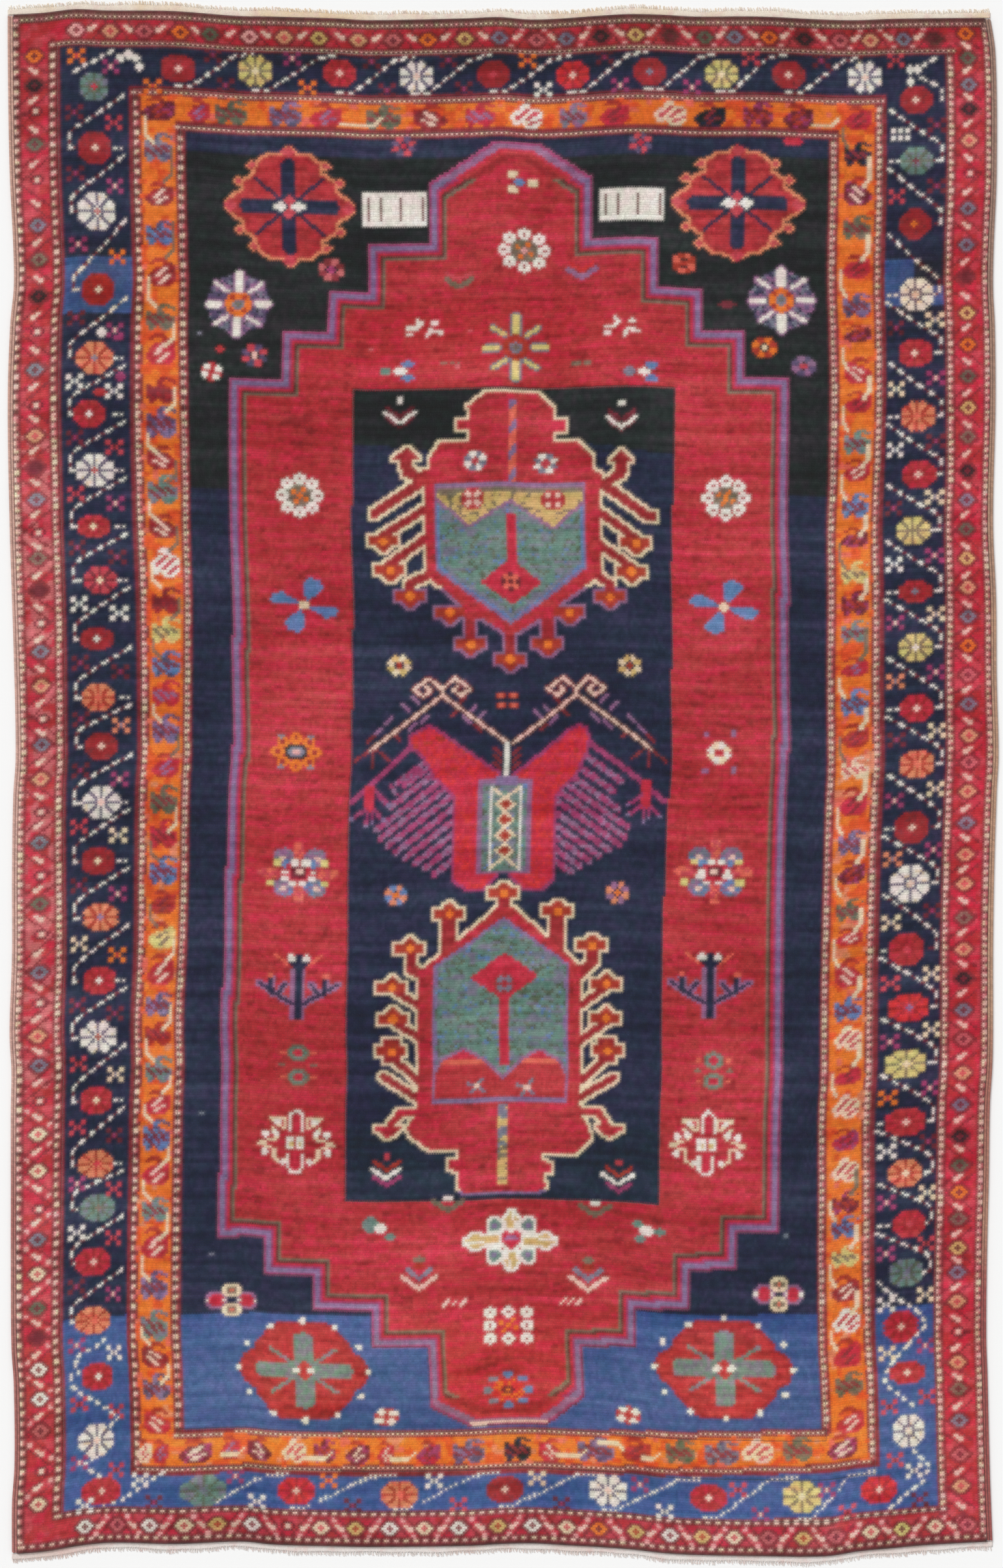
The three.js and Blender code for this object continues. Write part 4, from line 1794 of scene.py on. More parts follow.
# Soft patches where the wool is made lighter or darker: the middle column and row of each, its reach
# across and along in knots, and what it adds to red, green and blue
TONE_PATCHES = read_rows("""
8 200 15 170 18 16 14
8 480 15 150 14 12 10
386 330 13 300 14 -4 0
197 8 240 12 -16 -14 -16
120 570 100 34 18 12 2
300 570 100 34 16 8 0
34 112 14 14 6 -6 -26
364 110 14 12 6 -6 -20
180 130 70 16 6 -2 -2
110 290 26 30 8 8 8
285 270 26 24 8 10 10
180 480 120 20 -4 -3 -3
200 300 50 20 -6 -6 -4
150 430 20 60 -6 -6 -4
180 510 60 30 10 6 6
""")
# Uneven dye and wear: reach across and along in knots, seed, and how far each changes red, green and blue
UNEVEN = read_rows("""
70 1.5 21 8 8 8
14 1.2 22 8 7 7
150 9 23 7 6 6
24 18 24 8 7 7
1.1 1 25 11 9 9
2.6 2.2 26 6 -3 2
""")


def worn_wool():
    """The chart's yarns with their uneven dye and wear and the lighter and darker patches, in linear colours
    with full cover.
    """
    colours = np.array([DYES[yarn] for yarn in YARNS], float)[chart]
    for wide, high, seed, *change in UNEVEN:
        colours += (clouds(wide, high, seed)[..., None] - 0.5) * 2 * np.array(change)
    for column, row, across, along, *change in TONE_PATCHES:
        reach = np.exp(-(((COLUMNS - column) / across) ** 2) - ((ROWS - row) / along) ** 4)
        colours += reach[..., None] * np.array(change)
    colours = np.clip(colours, 6, 250) / 255
    colours = np.where(colours <= 0.04045, colours / 12.92, ((colours + 0.055) / 1.055) ** 2.4)
    return np.concatenate([colours, np.ones(chart.shape + (1,))], axis=2)


def mingled_wool(wool):
    """The mean colour of the four tufts that meet at each corner between knots."""
    wide = np.pad(wool, ((1, 1), (1, 1), (0, 0)), mode="edge")
    return (wide[:-1, :-1] + wide[1:, :-1] + wide[:-1, 1:] + wide[1:, 1:]) / 4


def new_mesh(name, points, faces):
    mesh = bpy.data.meshes.new(name)
    mesh.from_pydata(points.tolist(), [], faces.tolist() if hasattr(faces, "tolist") else faces)
    mesh.update()
    piece = bpy.data.objects.new(name, mesh)
    bpy.context.collection.objects.link(piece)
    return piece


def give_map(piece, name, places):
    layer = piece.data.uv_layers.new(name=name)
    layer.data.foreach_set("uv", np.ascontiguousarray(places, dtype=np.float32).ravel())
    return layer


def give_colours(piece, name, colours):
    layer = piece.data.color_attributes.new(name=name, type="FLOAT_COLOR", domain="CORNER")
    layer.data.foreach_set("color", np.ascontiguousarray(colours, dtype=np.float32).ravel())


def patch_layout(columns, rows, extra):
    """Places on a square texture map for the corners of knots, patch by patch, then of extra faces."""
    key = (rows // PATCH) * 1000 + columns // PATCH
    used, patch = np.unique(key, return_inverse=True)
    more = np.arange(extra)
    patch = np.concatenate([patch.ravel(), len(used) + more // PATCH**2])
    across = np.concatenate([columns % PATCH, more % PATCH])
    along = np.concatenate([rows % PATCH, more // PATCH % PATCH])
    side = math.ceil(math.sqrt(patch.max() + 1))
    pitch = PATCH + 2 * PATCH_GAP
    corner_across = across[:, None] + np.array([0, 1, 1, 0])
    corner_along = along[:, None] + np.array([1, 1, 0, 0])
    u = (patch[:, None] % side + (corner_across + PATCH_GAP) / pitch) / side
    v = 1 - (patch[:, None] // side + (corner_along + PATCH_GAP) / pitch) / side
    return np.stack([u, v], axis=-1)


def edge_walls(zone):
    """Edges of a zone as pairs of corners, each with the knot that it belongs to."""
    wide = KNOTS_ACROSS + 1
    padded = np.pad(zone, 1)
    walls = []
    for down, right, first, second in (
        (-1, 0, (0, 0), (0, 1)),
        (1, 0, (1, 1), (1, 0)),
        (0, -1, (1, 0), (0, 0)),
        (0, 1, (0, 1), (1, 1)),
    ):
        beside = padded[1 + down : padded.shape[0] - 1 + down, 1 + right : padded.shape[1] - 1 + right]
        rows, columns = np.nonzero(zone & ~beside)
        a = (rows + first[0]) * wide + columns + first[1]
        b = (rows + second[0]) * wide + columns + second[1]
        walls.append(np.stack([a, b, rows, columns], axis=1))
    return np.concatenate(walls)


def pile_zone(name, zone, corners, wool, mingled, material):
    """One zone of the pile: its knots and the walls round it, down to the foundation."""
    wide = KNOTS_ACROSS + 1
    rows, columns = np.nonzero(zone)
    near_left = (rows + 1) * wide + columns
    knots = np.stack([near_left, near_left + 1, near_left + 1 - wide, near_left - wide], axis=1)
    walls = edge_walls(zone)
    flat = corners.reshape(-1, 3)
    used, index = np.unique(np.concatenate([knots.ravel(), walls[:, :2].ravel()]), return_inverse=True)
    index = index.ravel()
    top_faces = index[: knots.size].reshape(-1, 4)
    wall_tops = index[knots.size :].reshape(-1, 2)
    under, foot = np.unique(wall_tops.ravel(), return_inverse=True)
    foot = foot.reshape(-1, 2) + len(used)
    points = flat[used]
    feet = points[under].copy()
    feet[:, 2] = BACK_HEIGHT
    wall_faces = np.stack([wall_tops[:, 0], wall_tops[:, 1], foot[:, 1], foot[:, 0]], axis=1)
    piece = new_mesh(name, np.concatenate([points, feet]), np.concatenate([top_faces, wall_faces]))
    wall_rows, wall_columns = walls[:, 2], walls[:, 3]
    own = np.concatenate([wool[rows, columns], wool[wall_rows, wall_columns]])
    give_colours(piece, "Dyed wool", np.repeat(own, 4, axis=0))
    down = rows[:, None] + np.array([1, 1, 0, 0])
    right = columns[:, None] + np.array([0, 1, 1, 0])
    walls = np.repeat(wool[wall_rows, wall_columns][:, None], 4, axis=1)
    met = np.concatenate([mingled[down, right], walls])
    give_colours(piece, "Mingled wool", met)
    across = np.concatenate([columns, wall_columns])[:, None] + np.array([0.02, 0.98, 0.98, 0.02])
    along = np.concatenate([rows, wall_rows])[:, None] + np.array([0.98, 0.98, 0.02, 0.02])
    give_map(piece, "Knots", np.stack([across, KNOTS_ALONG - along], axis=-1))
    piece.data.uv_layers["Knots"].active_render = True
    give_map(piece, "OFBake", patch_layout(columns, rows, len(walls)))
    piece.data.shade_smooth()
    piece.data.materials.append(material)
    return piece


def pile_zones():
    """The knots of each part of the pattern."""
    outer = box(0, 0, KNOTS_ACROSS, KNOTS_ALONG)
    blue = box(18, 14, 376, 614)
    orange = box(49, 32, 349.5, 597)
    field = box(67, 47, 330.5, 581)
    medallion = shape(MEDALLION_LEFT + MEDALLION_RIGHT[::-1])
    left_side = [(side[1], side[0]) for side in INNER_SIDES]
    right_side = [(side[2], side[0]) for side in INNER_SIDES]
    inner = shape(left_side + right_side[::-1])
    return {
        "pile_red_border": outer & ~blue,
        "pile_blue_border": blue & ~orange,
        "pile_orange_border": orange & ~field,
        "pile_field": field & ~medallion,
        "pile_medallion": medallion & ~inner,
        "pile_inner_field": inner,
    }

# Shader nodes

def add(tree, kind, inputs=(), **settings):
    """A node with its settings, and with numbers or other nodes' outputs in its inputs."""
    made = tree.nodes.new(kind if kind.startswith(("Geometry", "Function")) else "ShaderNode" + kind)
    for name, value in settings.items():
        setattr(made, name, value)
    for name, value in dict(inputs).items():
        if isinstance(value, bpy.types.NodeSocket):
            tree.links.new(value, made.inputs[name])
        else:
            made.inputs[name].default_value = value
    return made


def out(tree, kind, inputs=(), **settings):
    return add(tree, kind, inputs, **settings).outputs[0]


def maths(tree, operation, *values, clamp=False):
    return out(tree, "Math", enumerate(values), operation=operation, use_clamp=clamp)


def times(tree, first, second):
    return maths(tree, "MULTIPLY", first, second)


def minus(tree, first, second):
    return maths(tree, "SUBTRACT", first, second)


def scaled(tree, vector, amount):
    """A vector or colour times a number."""
    made = add(tree, "VectorMath", {0: vector}, operation="SCALE")
    if isinstance(amount, bpy.types.NodeSocket):
        tree.links.new(amount, made.inputs["Scale"])
    else:
        made.inputs["Scale"].default_value = amount
    return made.outputs[0]


def blended(tree, factor, first, second):
    """One colour giving way to another as the factor goes from 0 to 1."""
    made = add(tree, "Mix", {0: factor, 6: first, 7: second}, data_type="RGBA")
    return made.outputs[2]


def group(name, takes, gives):
    """An empty shader group, with its inputs as name: (kind, value) and its outputs as name: kind."""
    tree = bpy.data.node_groups.new(name, "ShaderNodeTree")
    for label, (kind, value) in takes.items():
        socket = tree.interface.new_socket(label, in_out="INPUT", socket_type=f"NodeSocket{kind}")
        if value is not None:
            socket.default_value = value
    for label, kind in gives.items():
        tree.interface.new_socket(label, in_out="OUTPUT", socket_type=f"NodeSocket{kind}")
    start = tree.nodes.new("NodeGroupInput")
    end = tree.nodes.new("NodeGroupOutput")
    return tree, start.outputs, end.inputs


def use(tree, made_group, **values):
    """A group placed in a material. Names of its inputs have underscores for spaces."""
    node = tree.nodes.new("ShaderNodeGroup")
    node.node_tree = made_group
    for name, value in values.items():
        socket = node.inputs[name.replace("_", " ").capitalize()]
        if isinstance(value, bpy.types.NodeSocket):
            tree.links.new(value, socket)
        else:
            socket.default_value = value
    return node.outputs


def make_tufts():
    """Clipped tufts: a soft lump for each knot, ragged at its edges, with its own tone, and the hollows
    between lumps, where the wool materials paint shade.
    """
    tree, given, result = group(
        "Clipped tufts",
        {"Knots": ("Vector", None), "Raggedness": ("Float", 0.5), "Tufts to a knot": ("Float", 2.0)},
        {"Height": "Float", "Hollow": "Float", "Tone": "Float"},
    )
    noise = add(tree, "TexNoise", {"Vector": given["Knots"], "Scale": 1.3, "Detail": 2.0},
                noise_dimensions="2D")
    centred = out(tree, "VectorMath", {0: noise.outputs["Color"], 1: (0.5, 0.5, 0.5)},
                  operation="SUBTRACT")
    ragged = out(tree, "VectorMath",
                 {0: given["Knots"], 1: scaled(tree, centred, given["Raggedness"])})
    places = add(tree, "SeparateXYZ", {0: ragged}).outputs
    across = times(tree, times(tree, places[0], given["Tufts to a knot"]), math.pi)
    along = times(tree, places[1], math.pi)
    lump = times(tree, maths(tree, "ABSOLUTE", maths(tree, "SINE", across)),
                 maths(tree, "ABSOLUTE", maths(tree, "SINE", along)))
    height = maths(tree, "POWER", lump, 0.45)
    tree.links.new(height, result["Height"])
    # How low the tuft lies between lumps, which the wool materials darken as painted shade
    tree.links.new(maths(tree, "SUBTRACT", 1.0, height, clamp=True), result["Hollow"])
    cell = out(tree, "VectorMath", {0: given["Knots"]}, operation="FLOOR")
    random = add(tree, "TexWhiteNoise", {"Vector": cell}, noise_dimensions="2D")
    tree.links.new(minus(tree, random.outputs["Value"], 0.5), result["Tone"])
    return tree


def make_mingling():
    """How far the ends of one tuft stray over the next, from none at a knot's middle to half at its edge."""
    tree, given, result = group(
        "Mingled tufts", {"Knots": ("Vector", None), "Reach": ("Float", 0.35)}, {"Strayed": "Float"},
    )
    inside = out(tree, "VectorMath", {0: given["Knots"]}, operation="FRACTION")
    centred = out(tree, "VectorMath", {0: inside, 1: (0.5, 0.5, 0.5)}, operation="SUBTRACT")
    aside = add(tree, "SeparateXYZ", {
        0: out(tree, "VectorMath", {0: centred}, operation="ABSOLUTE")}).outputs
    edge = times(tree, maths(tree, "MAXIMUM", aside[0], aside[1]), 2.0)
    ends = add(tree, "TexNoise", {"Vector": given["Knots"], "Scale": 7.0, "Detail": 2.0},
               noise_dimensions="2D").outputs["Fac"]
    ragged = maths(tree, "MULTIPLY_ADD", minus(tree, ends, 0.5), given["Reach"], edge)
    strayed = add(tree, "MapRange", {0: ragged, 1: 0.0, 2: 0.9}, interpolation_type="SMOOTHSTEP")
    tree.links.new(strayed.outputs[0], result["Strayed"])
    return tree


def make_fibres():
    """Fine wool fibres, drawn out along the way that the yarn lies."""
    tree, given, result = group(
        "Wool fibres",
        {"Place": ("Vector", None), "Fineness": ("Float", 900.0), "Drawn out": ("Vector", (1.0, 0.3, 1.0))},
        {"Fibres": "Float", "Fluff": "Float"},
    )
    drawn = out(tree, "VectorMath", {0: given["Place"], 1: given["Drawn out"]},
                operation="MULTIPLY")
    fine = add(tree, "TexNoise", {"Vector": drawn, "Scale": given["Fineness"], "Detail": 3.0,
                                            "Roughness": 0.65})
    tree.links.new(fine.outputs["Fac"], result["Fibres"])
    loose = add(tree, "TexNoise", {
        "Vector": given["Place"], "Scale": times(tree, given["Fineness"], 0.22), "Detail": 2.0})
    tree.links.new(loose.outputs["Fac"], result["Fluff"])
    return tree


TUFTS = make_tufts()
MINGLING = make_mingling()
FIBRES = make_fibres()


def new_material(name, sheen=0.25):
    """A material with its wool shader, which has the values that are the same all over."""
    material = bpy.data.materials.new(name)
    material.use_nodes = True
    tree = material.node_tree
    shader = tree.nodes["Principled BSDF"]
    shader.inputs["Specular IOR Level"].default_value = 0.2
    shader.inputs["Sheen Weight"].default_value = sheen
    shader.inputs["Sheen Roughness"].default_value = 0.55
    return material, tree, shader


def finish_wool(tree, shader, colour, tone, fibres, height, rise, softest=0.82, strength=0.8):
    """Colour times tone, roughness from the fibres, and relief."""
    tree.links.new(scaled(tree, colour, tone), shader.inputs["Base Color"])
    tree.links.new(maths(tree, "MULTIPLY_ADD", fibres, 0.26, softest - 0.08), shader.inputs["Roughness"])
    bump = add(tree, "Bump", {"Height": height, "Distance": rise, "Strength": strength})
    tree.links.new(bump.outputs["Normal"], shader.inputs["Normal"])


def total(tree, start, *parts):
    """A number plus each (value, amount)."""
    for value, amount in parts:
        start = maths(tree, "MULTIPLY_ADD", value, amount, start)
    return start


def pile_wool(name):
    """Clipped wool pile. The amounts are how far each effect lightens or darkens the dye."""
    material, tree, shader = new_material(name)
    knots = out(tree, "UVMap", uv_map="Knots")
    place = add(tree, "TexCoord").outputs["Object"]
    own = add(tree, "Attribute", attribute_name="Dyed wool").outputs["Color"]
    met = add(tree, "Attribute", attribute_name="Mingled wool").outputs["Color"]
    colour = blended(tree, use(tree, MINGLING, knots=knots)["Strayed"], own, met)
    tufts = use(tree, TUFTS, knots=knots, raggedness=0.55)
    fibres = use(tree, FIBRES, place=place, fineness=1100.0)
    # Tone: each knot's own random tone, painted shade in the hollows between tufts, and fibre grain
    tone = total(tree, 1.0, (tufts["Tone"], 0.15), (tufts["Hollow"], -0.16),
                 (minus(tree, fibres["Fibres"], 0.5), 0.5))
    height = total(tree, 0.0, (tufts["Height"], 0.8), (fibres["Fibres"], 0.5), (fibres["Fluff"], 0.5))
    finish_wool(tree, shader, colour, tone, fibres["Fibres"], height, 0.0011)
    return material


# The foundation, seen from below as the backs of the knots

def back_wool():
    """Backs of the knots: two small ridges for each knot, with brown weft between the rows."""
    material, tree, shader = new_material("Knot backs", sheen=0.1)
    knots = out(tree, "UVMap", uv_map="Knots")
    place = add(tree, "TexCoord").outputs["Object"]
    dyed = add(tree, "Attribute", attribute_name="Dyed wool").outputs["Color"]
    tufts = use(tree, TUFTS, knots=knots, raggedness=0.12)
    fibres = use(tree, FIBRES, place=place, fineness=1300.0, drawn_out=(0.3, 1.0, 1.0))
    row = add(tree, "SeparateXYZ", {0: knots}).outputs[1]
    from_middle = maths(tree, "ABSOLUTE", minus(tree, maths(tree, "FRACT", row), 0.5))
    weft = times(tree, maths(tree, "GREATER_THAN", from_middle, 0.34), 0.75)
    colour = blended(tree, weft, dyed, (0.16, 0.075, 0.055, 1.0))
    # Tone: each knot's own random tone, painted shade in the hollows between the ridges, and fibre grain
    tone = total(tree, 1.0, (tufts["Tone"], 0.16), (tufts["Hollow"], -0.25),
                 (minus(tree, fibres["Fibres"], 0.5), 0.4))
    height = total(tree, 0.0, (tufts["Height"], 0.7), (weft, -0.5), (fibres["Fibres"], 0.3))
    finish_wool(tree, shader, colour, tone, fibres["Fibres"], height, 0.0008)
    return material


def foundation(wool, material):
    """A thin closed cloth under the pile, with two knots by two to each face of its back."""
    columns, rows = corner_grid(2)
    x, y = lie(columns, rows)
    high, wide = columns.shape
    back = np.stack([x.ravel(), y.ravel(), np.zeros(x.size)], axis=1)
    order = np.arange(x.size).reshape(high, wide)
    rim = np.concatenate([order[0, :-1], order[:-1, -1], order[-1, :0:-1], order[:0:-1, 0]])
    front = back[rim].copy()
    front[:, 2] = BACK_HEIGHT
    top = {int(corner): x.size + step for step, corner in enumerate(rim)}
    faces = []
    for row in range(high - 1):
        for column in range(wide - 1):
            a = order[row, column]
            faces.append([a, a + 1, a + 1 + wide, a + wide])
    backs = len(faces)
    for a, b in zip(rim, np.roll(rim, -1)):
        faces.append([a, top[a], top[b], b])
    cuts = [0] + list(range(12, high - 13, 8)) + [high - 1]
    for first, last in zip(cuts, cuts[1:]):
        left = [order[step, 0] for step in range(first, last + 1)]
        right = [order[step, -1] for step in range(last, first - 1, -1)]
        near = list(order[last, 1:-1]) if last == high - 1 else []
        far = list(order[first, -2:0:-1]) if first == 0 else []
        faces.append([top[corner] for corner in left + near + right + far])
    piece = new_mesh("knotted_foundation", np.concatenate([back, front]), faces)
    mesh = piece.data
    corner_points = np.zeros(len(mesh.loops), int)
    mesh.loops.foreach_get("vertex_index", corner_points)
    lowest = np.concatenate([np.arange(x.size), rim])[corner_points]
    at_column = columns.ravel()[lowest]
    at_row = rows.ravel()[lowest]
    give_map(piece, "Knots", np.stack([at_column, KNOTS_ALONG - at_row], axis=-1))
    piece.data.uv_layers["Knots"].active_render = True
    middle_column = np.repeat(at_column[: backs * 4].reshape(-1, 4).mean(axis=1), 4)
    middle_row = np.repeat(at_row[: backs * 4].reshape(-1, 4).mean(axis=1), 4)
    tied_column = np.clip(at_column, 0, KNOTS_ACROSS - 1)
    tied_row = np.clip(at_row, 0, KNOTS_ALONG - 1)
    tied_column[: backs * 4] = middle_column - (at_column[: backs * 4] < middle_column)
    tied_row[: backs * 4] = middle_row - (at_row[: backs * 4] < middle_row)
    give_colours(piece, "Dyed wool", wool[tied_row.astype(int), tied_column.astype(int)])
    side = KNOTS_ALONG * 1.02
    bake = np.stack([at_column / side * 1.45, 1 - at_row / side], axis=-1)
    bake[backs * 4 :] = np.stack([0.92 + at_column[backs * 4 :] * 0.0001,
                                  1 - at_row[backs * 4 :] / side], axis=-1)
    give_map(piece, "OFBake", bake)
    piece.data.materials.append(material)
    return piece


# Geometry nodes for the side cords and the cut warps

def geometry_tree(name, takes):
    """An empty geometry tree with its inputs as name: (kind, value), and the node of its inputs."""
    tree = bpy.data.node_groups.new(name, "GeometryNodeTree")
    tree.interface.new_socket("Geometry", in_out="INPUT", socket_type="NodeSocketGeometry")
    for label, (kind, value) in takes.items():
        socket = tree.interface.new_socket(label, in_out="INPUT", socket_type=f"NodeSocket{kind}")
        if value is not None:
            socket.default_value = value
    tree.interface.new_socket("Geometry", in_out="OUTPUT", socket_type="NodeSocketGeometry")
    return tree, tree.nodes.new("NodeGroupInput").outputs


def end_tree(tree, shape_made, material):
    """Instances made real and the material set, at the end of a geometry tree."""
    real = out(tree, "GeometryNodeRealizeInstances", {0: shape_made})
    smooth = out(tree, "GeometryNodeSetShadeSmooth", {0: real})
    done = out(tree, "GeometryNodeSetMaterial", {"Geometry": smooth, "Material": material})
    tree.links.new(done, tree.nodes.new("NodeGroupOutput").inputs[0])


def make_cord_tree():
    """Cords along paths, ridged by the turns of the yarn that wraps them."""
    tree, given = geometry_tree("Wrapped cord", {
        "Width": ("Float", 0.0046),
        "Height": ("Float", 0.005),
        "Turn": ("Float", 0.0034),
        "Groove": ("Float", 0.13),
        "Slant": ("Float", 0.001),
        "Sides": ("Int", 10),
        "Material": ("Material", None),
    })
    path = out(tree, "GeometryNodeMeshToCurve", {0: given["Geometry"]})
    half_turn = times(tree, given["Turn"], 0.5)
    path = out(tree, "GeometryNodeResampleCurve", {"Curve": path, "Length": half_turn}, mode="LENGTH")
    path = out(tree, "GeometryNodeSetCurveNormal", {0: path}, mode="Z_UP")
    odd = maths(tree, "MODULO", out(tree, "GeometryNodeInputIndex"), 2.0)
    radius = minus(tree, 1.0, times(tree, odd, given["Groove"]))
    path = out(tree, "GeometryNodeSetCurveRadius", {"Curve": path, "Radius": radius})
    section = out(tree, "GeometryNodeCurvePrimitiveCircle", {"Resolution": given["Sides"], "Radius": 0.5})
    size = out(tree, "CombineXYZ", {0: given["Width"], 1: given["Height"], 2: 1.0})
    around = out(tree, "GeometryNodeInputPosition")
    aside = out(tree, "SeparateXYZ", {0: around})
    section = out(tree, "GeometryNodeStoreNamedAttribute",
                  {"Geometry": section, "Name": "aside", "Value": aside},
                  data_type="FLOAT", domain="POINT")
    section = out(tree, "GeometryNodeTransform", {"Geometry": section, "Scale": size})
    cord = out(tree, "GeometryNodeCurveToMesh", {0: path, 1: section, "Fill Caps": True})
    stored = out(tree, "GeometryNodeInputNamedAttribute", {"Name": "aside"}, data_type="FLOAT")
    shift = out(tree, "CombineXYZ", {1: times(tree, stored, given["Slant"])})
    cord = out(tree, "GeometryNodeSetPosition", {"Geometry": cord, "Offset": shift})
    end_tree(tree, cord, given["Material"])
    return tree


def make_warp_tree():
    """Cut warp ends along a path, each a tapered yarn of its own length and lean."""
    tree, given = geometry_tree("Cut warps", {
        "Spacing": ("Float", 0.002),
        "Length": ("Float", 0.006),
        "Length spread": ("Float", 0.3),
        "Thickness": ("Float", 0.0013),
        "Lean": ("Float", 0.5),
        "Heading": ("Float", 0.0),
        "Seed": ("Int", 7),
        "Material": ("Material", None),
    })
    path = out(tree, "GeometryNodeMeshToCurve", {0: given["Geometry"]})
    path = out(tree, "GeometryNodeResampleCurve", {"Curve": path, "Length": given["Spacing"]},
               mode="LENGTH")
    yarn = out(tree, "GeometryNodeCurvePrimitiveLine", {"End": (0.0, 1.0, 0.0)})
    yarn = out(tree, "GeometryNodeResampleCurve", {"Curve": yarn, "Count": 5}, mode="COUNT")
    along = add(tree, "SeparateXYZ", {0: out(tree, "GeometryNodeInputPosition")}).outputs[1]
    curl = times(tree, maths(tree, "SINE", times(tree, along, 4.0)), 0.12)
    droop = times(tree, times(tree, along, along), -0.05)
    bend = out(tree, "CombineXYZ", {0: curl, 2: droop})
    yarn = out(tree, "GeometryNodeSetPosition", {"Geometry": yarn, "Offset": bend})
    taper = minus(tree, 1.0, times(tree, maths(tree, "POWER", along, 3.0), 0.6))
    yarn = out(tree, "GeometryNodeSetCurveRadius", {"Curve": yarn, "Radius": taper})
    width = maths(tree, "DIVIDE", times(tree, given["Thickness"], 0.5), given["Length"])
    section = out(tree, "GeometryNodeCurvePrimitiveCircle", {"Resolution": 5, "Radius": width})
    yarn = out(tree, "GeometryNodeCurveToMesh", {0: yarn, 1: section, "Fill Caps": True})
    lean = add(tree, "FunctionNodeRandomValue", {2: times(tree, given["Lean"], -1.0), 3: given["Lean"],
                                                 "Seed": given["Seed"]}, data_type="FLOAT").outputs[1]
    turn = out(tree, "CombineXYZ", {2: maths(tree, "ADD", lean, given["Heading"])})
    least = minus(tree, 1.0, given["Length spread"])
    most = maths(tree, "ADD", 1.0, given["Length spread"])
    next_seed = maths(tree, "ADD", given["Seed"], 1.0)
    long = add(tree, "FunctionNodeRandomValue", {2: least, 3: most, "Seed": next_seed},
               data_type="FLOAT").outputs[1]
    length = times(tree, long, given["Length"])
    size = out(tree, "CombineXYZ", {0: given["Length"], 1: length, 2: given["Length"]})
    warps = out(tree, "GeometryNodeInstanceOnPoints", {"Points": path, "Instance": yarn, "Rotation": turn,
                                                       "Scale": size})
    end_tree(tree, warps, given["Material"])
    return tree


def grown(name, paths, tree, values):
    """A plain mesh that a geometry tree makes from paths, each a list of points."""
    points = np.concatenate(paths)
    mesh = bpy.data.meshes.new(name)
    edges = []
    start = 0
    for path in paths:
        edges += [(start + step, start + step + 1) for step in range(len(path) - 1)]
        start += len(path)
    mesh.from_pydata(points.tolist(), edges, [])
    piece = bpy.data.objects.new(name, mesh)
    bpy.context.collection.objects.link(piece)
    modifier = piece.modifiers.new(name, "NODES")
    modifier.node_group = tree
    for item in tree.interface.items_tree:
        if item.item_type == "SOCKET" and item.in_out == "INPUT" and item.name in values:
            modifier[item.identifier] = values[item.name]
    piece.update_tag()
    evaluated = piece.evaluated_get(bpy.context.evaluated_depsgraph_get())
    made = bpy.data.meshes.new_from_object(evaluated)
    piece.modifiers.clear()
    piece.data = made
    made.name = name
    return piece


# Side cords

CORD_HEIGHT = 0.005
YARN_TURN = 0.0034
CORD_SIDES = 10
CORD_STRIPS = 14


def cord_wool(name, far, middle, near):
    """Yarn wrapped round the side cords, in three shades from the far end to the near end."""
    material, tree, shader = new_material(name)
    turns = out(tree, "UVMap", uv_map="Turns")
    place = add(tree, "TexCoord").outputs["Object"]
    tufts = use(tree, TUFTS, knots=turns, raggedness=0.2, tufts_to_a_knot=1.0)
    fibres = use(tree, FIBRES, place=place, fineness=1200.0, drawn_out=(0.25, 1.0, 0.4))
    runs = add(tree, "TexNoise", {"Vector": place, "Scale": 5.0, "Detail": 3.0}).outputs["Fac"]
    along = add(tree, "SeparateXYZ", {0: place}).outputs[1]
    along = total(tree, -0.75, (along, 1.0), (runs, 1.5))
    colour = blended(tree, out(tree, "MapRange", {0: along, 1: 0.1, 2: 0.9}), middle, far)
    colour = blended(tree, out(tree, "MapRange", {0: along, 1: -0.3, 2: -0.9}), colour, near)
    # Tone: each turn's own random tone, painted shade in the grooves between the turns of the yarn, and fibre
    # grain
    tone = total(tree, 1.0, (tufts["Tone"], 0.25), (tufts["Hollow"], -0.25),
                 (minus(tree, fibres["Fibres"], 0.5), 0.6))
    height = total(tree, 0.0, (fibres["Fibres"], 0.7), (tufts["Height"], 0.3))
    finish_wool(tree, shader, colour, tone, fibres["Fibres"], height, 0.0006)
    return material


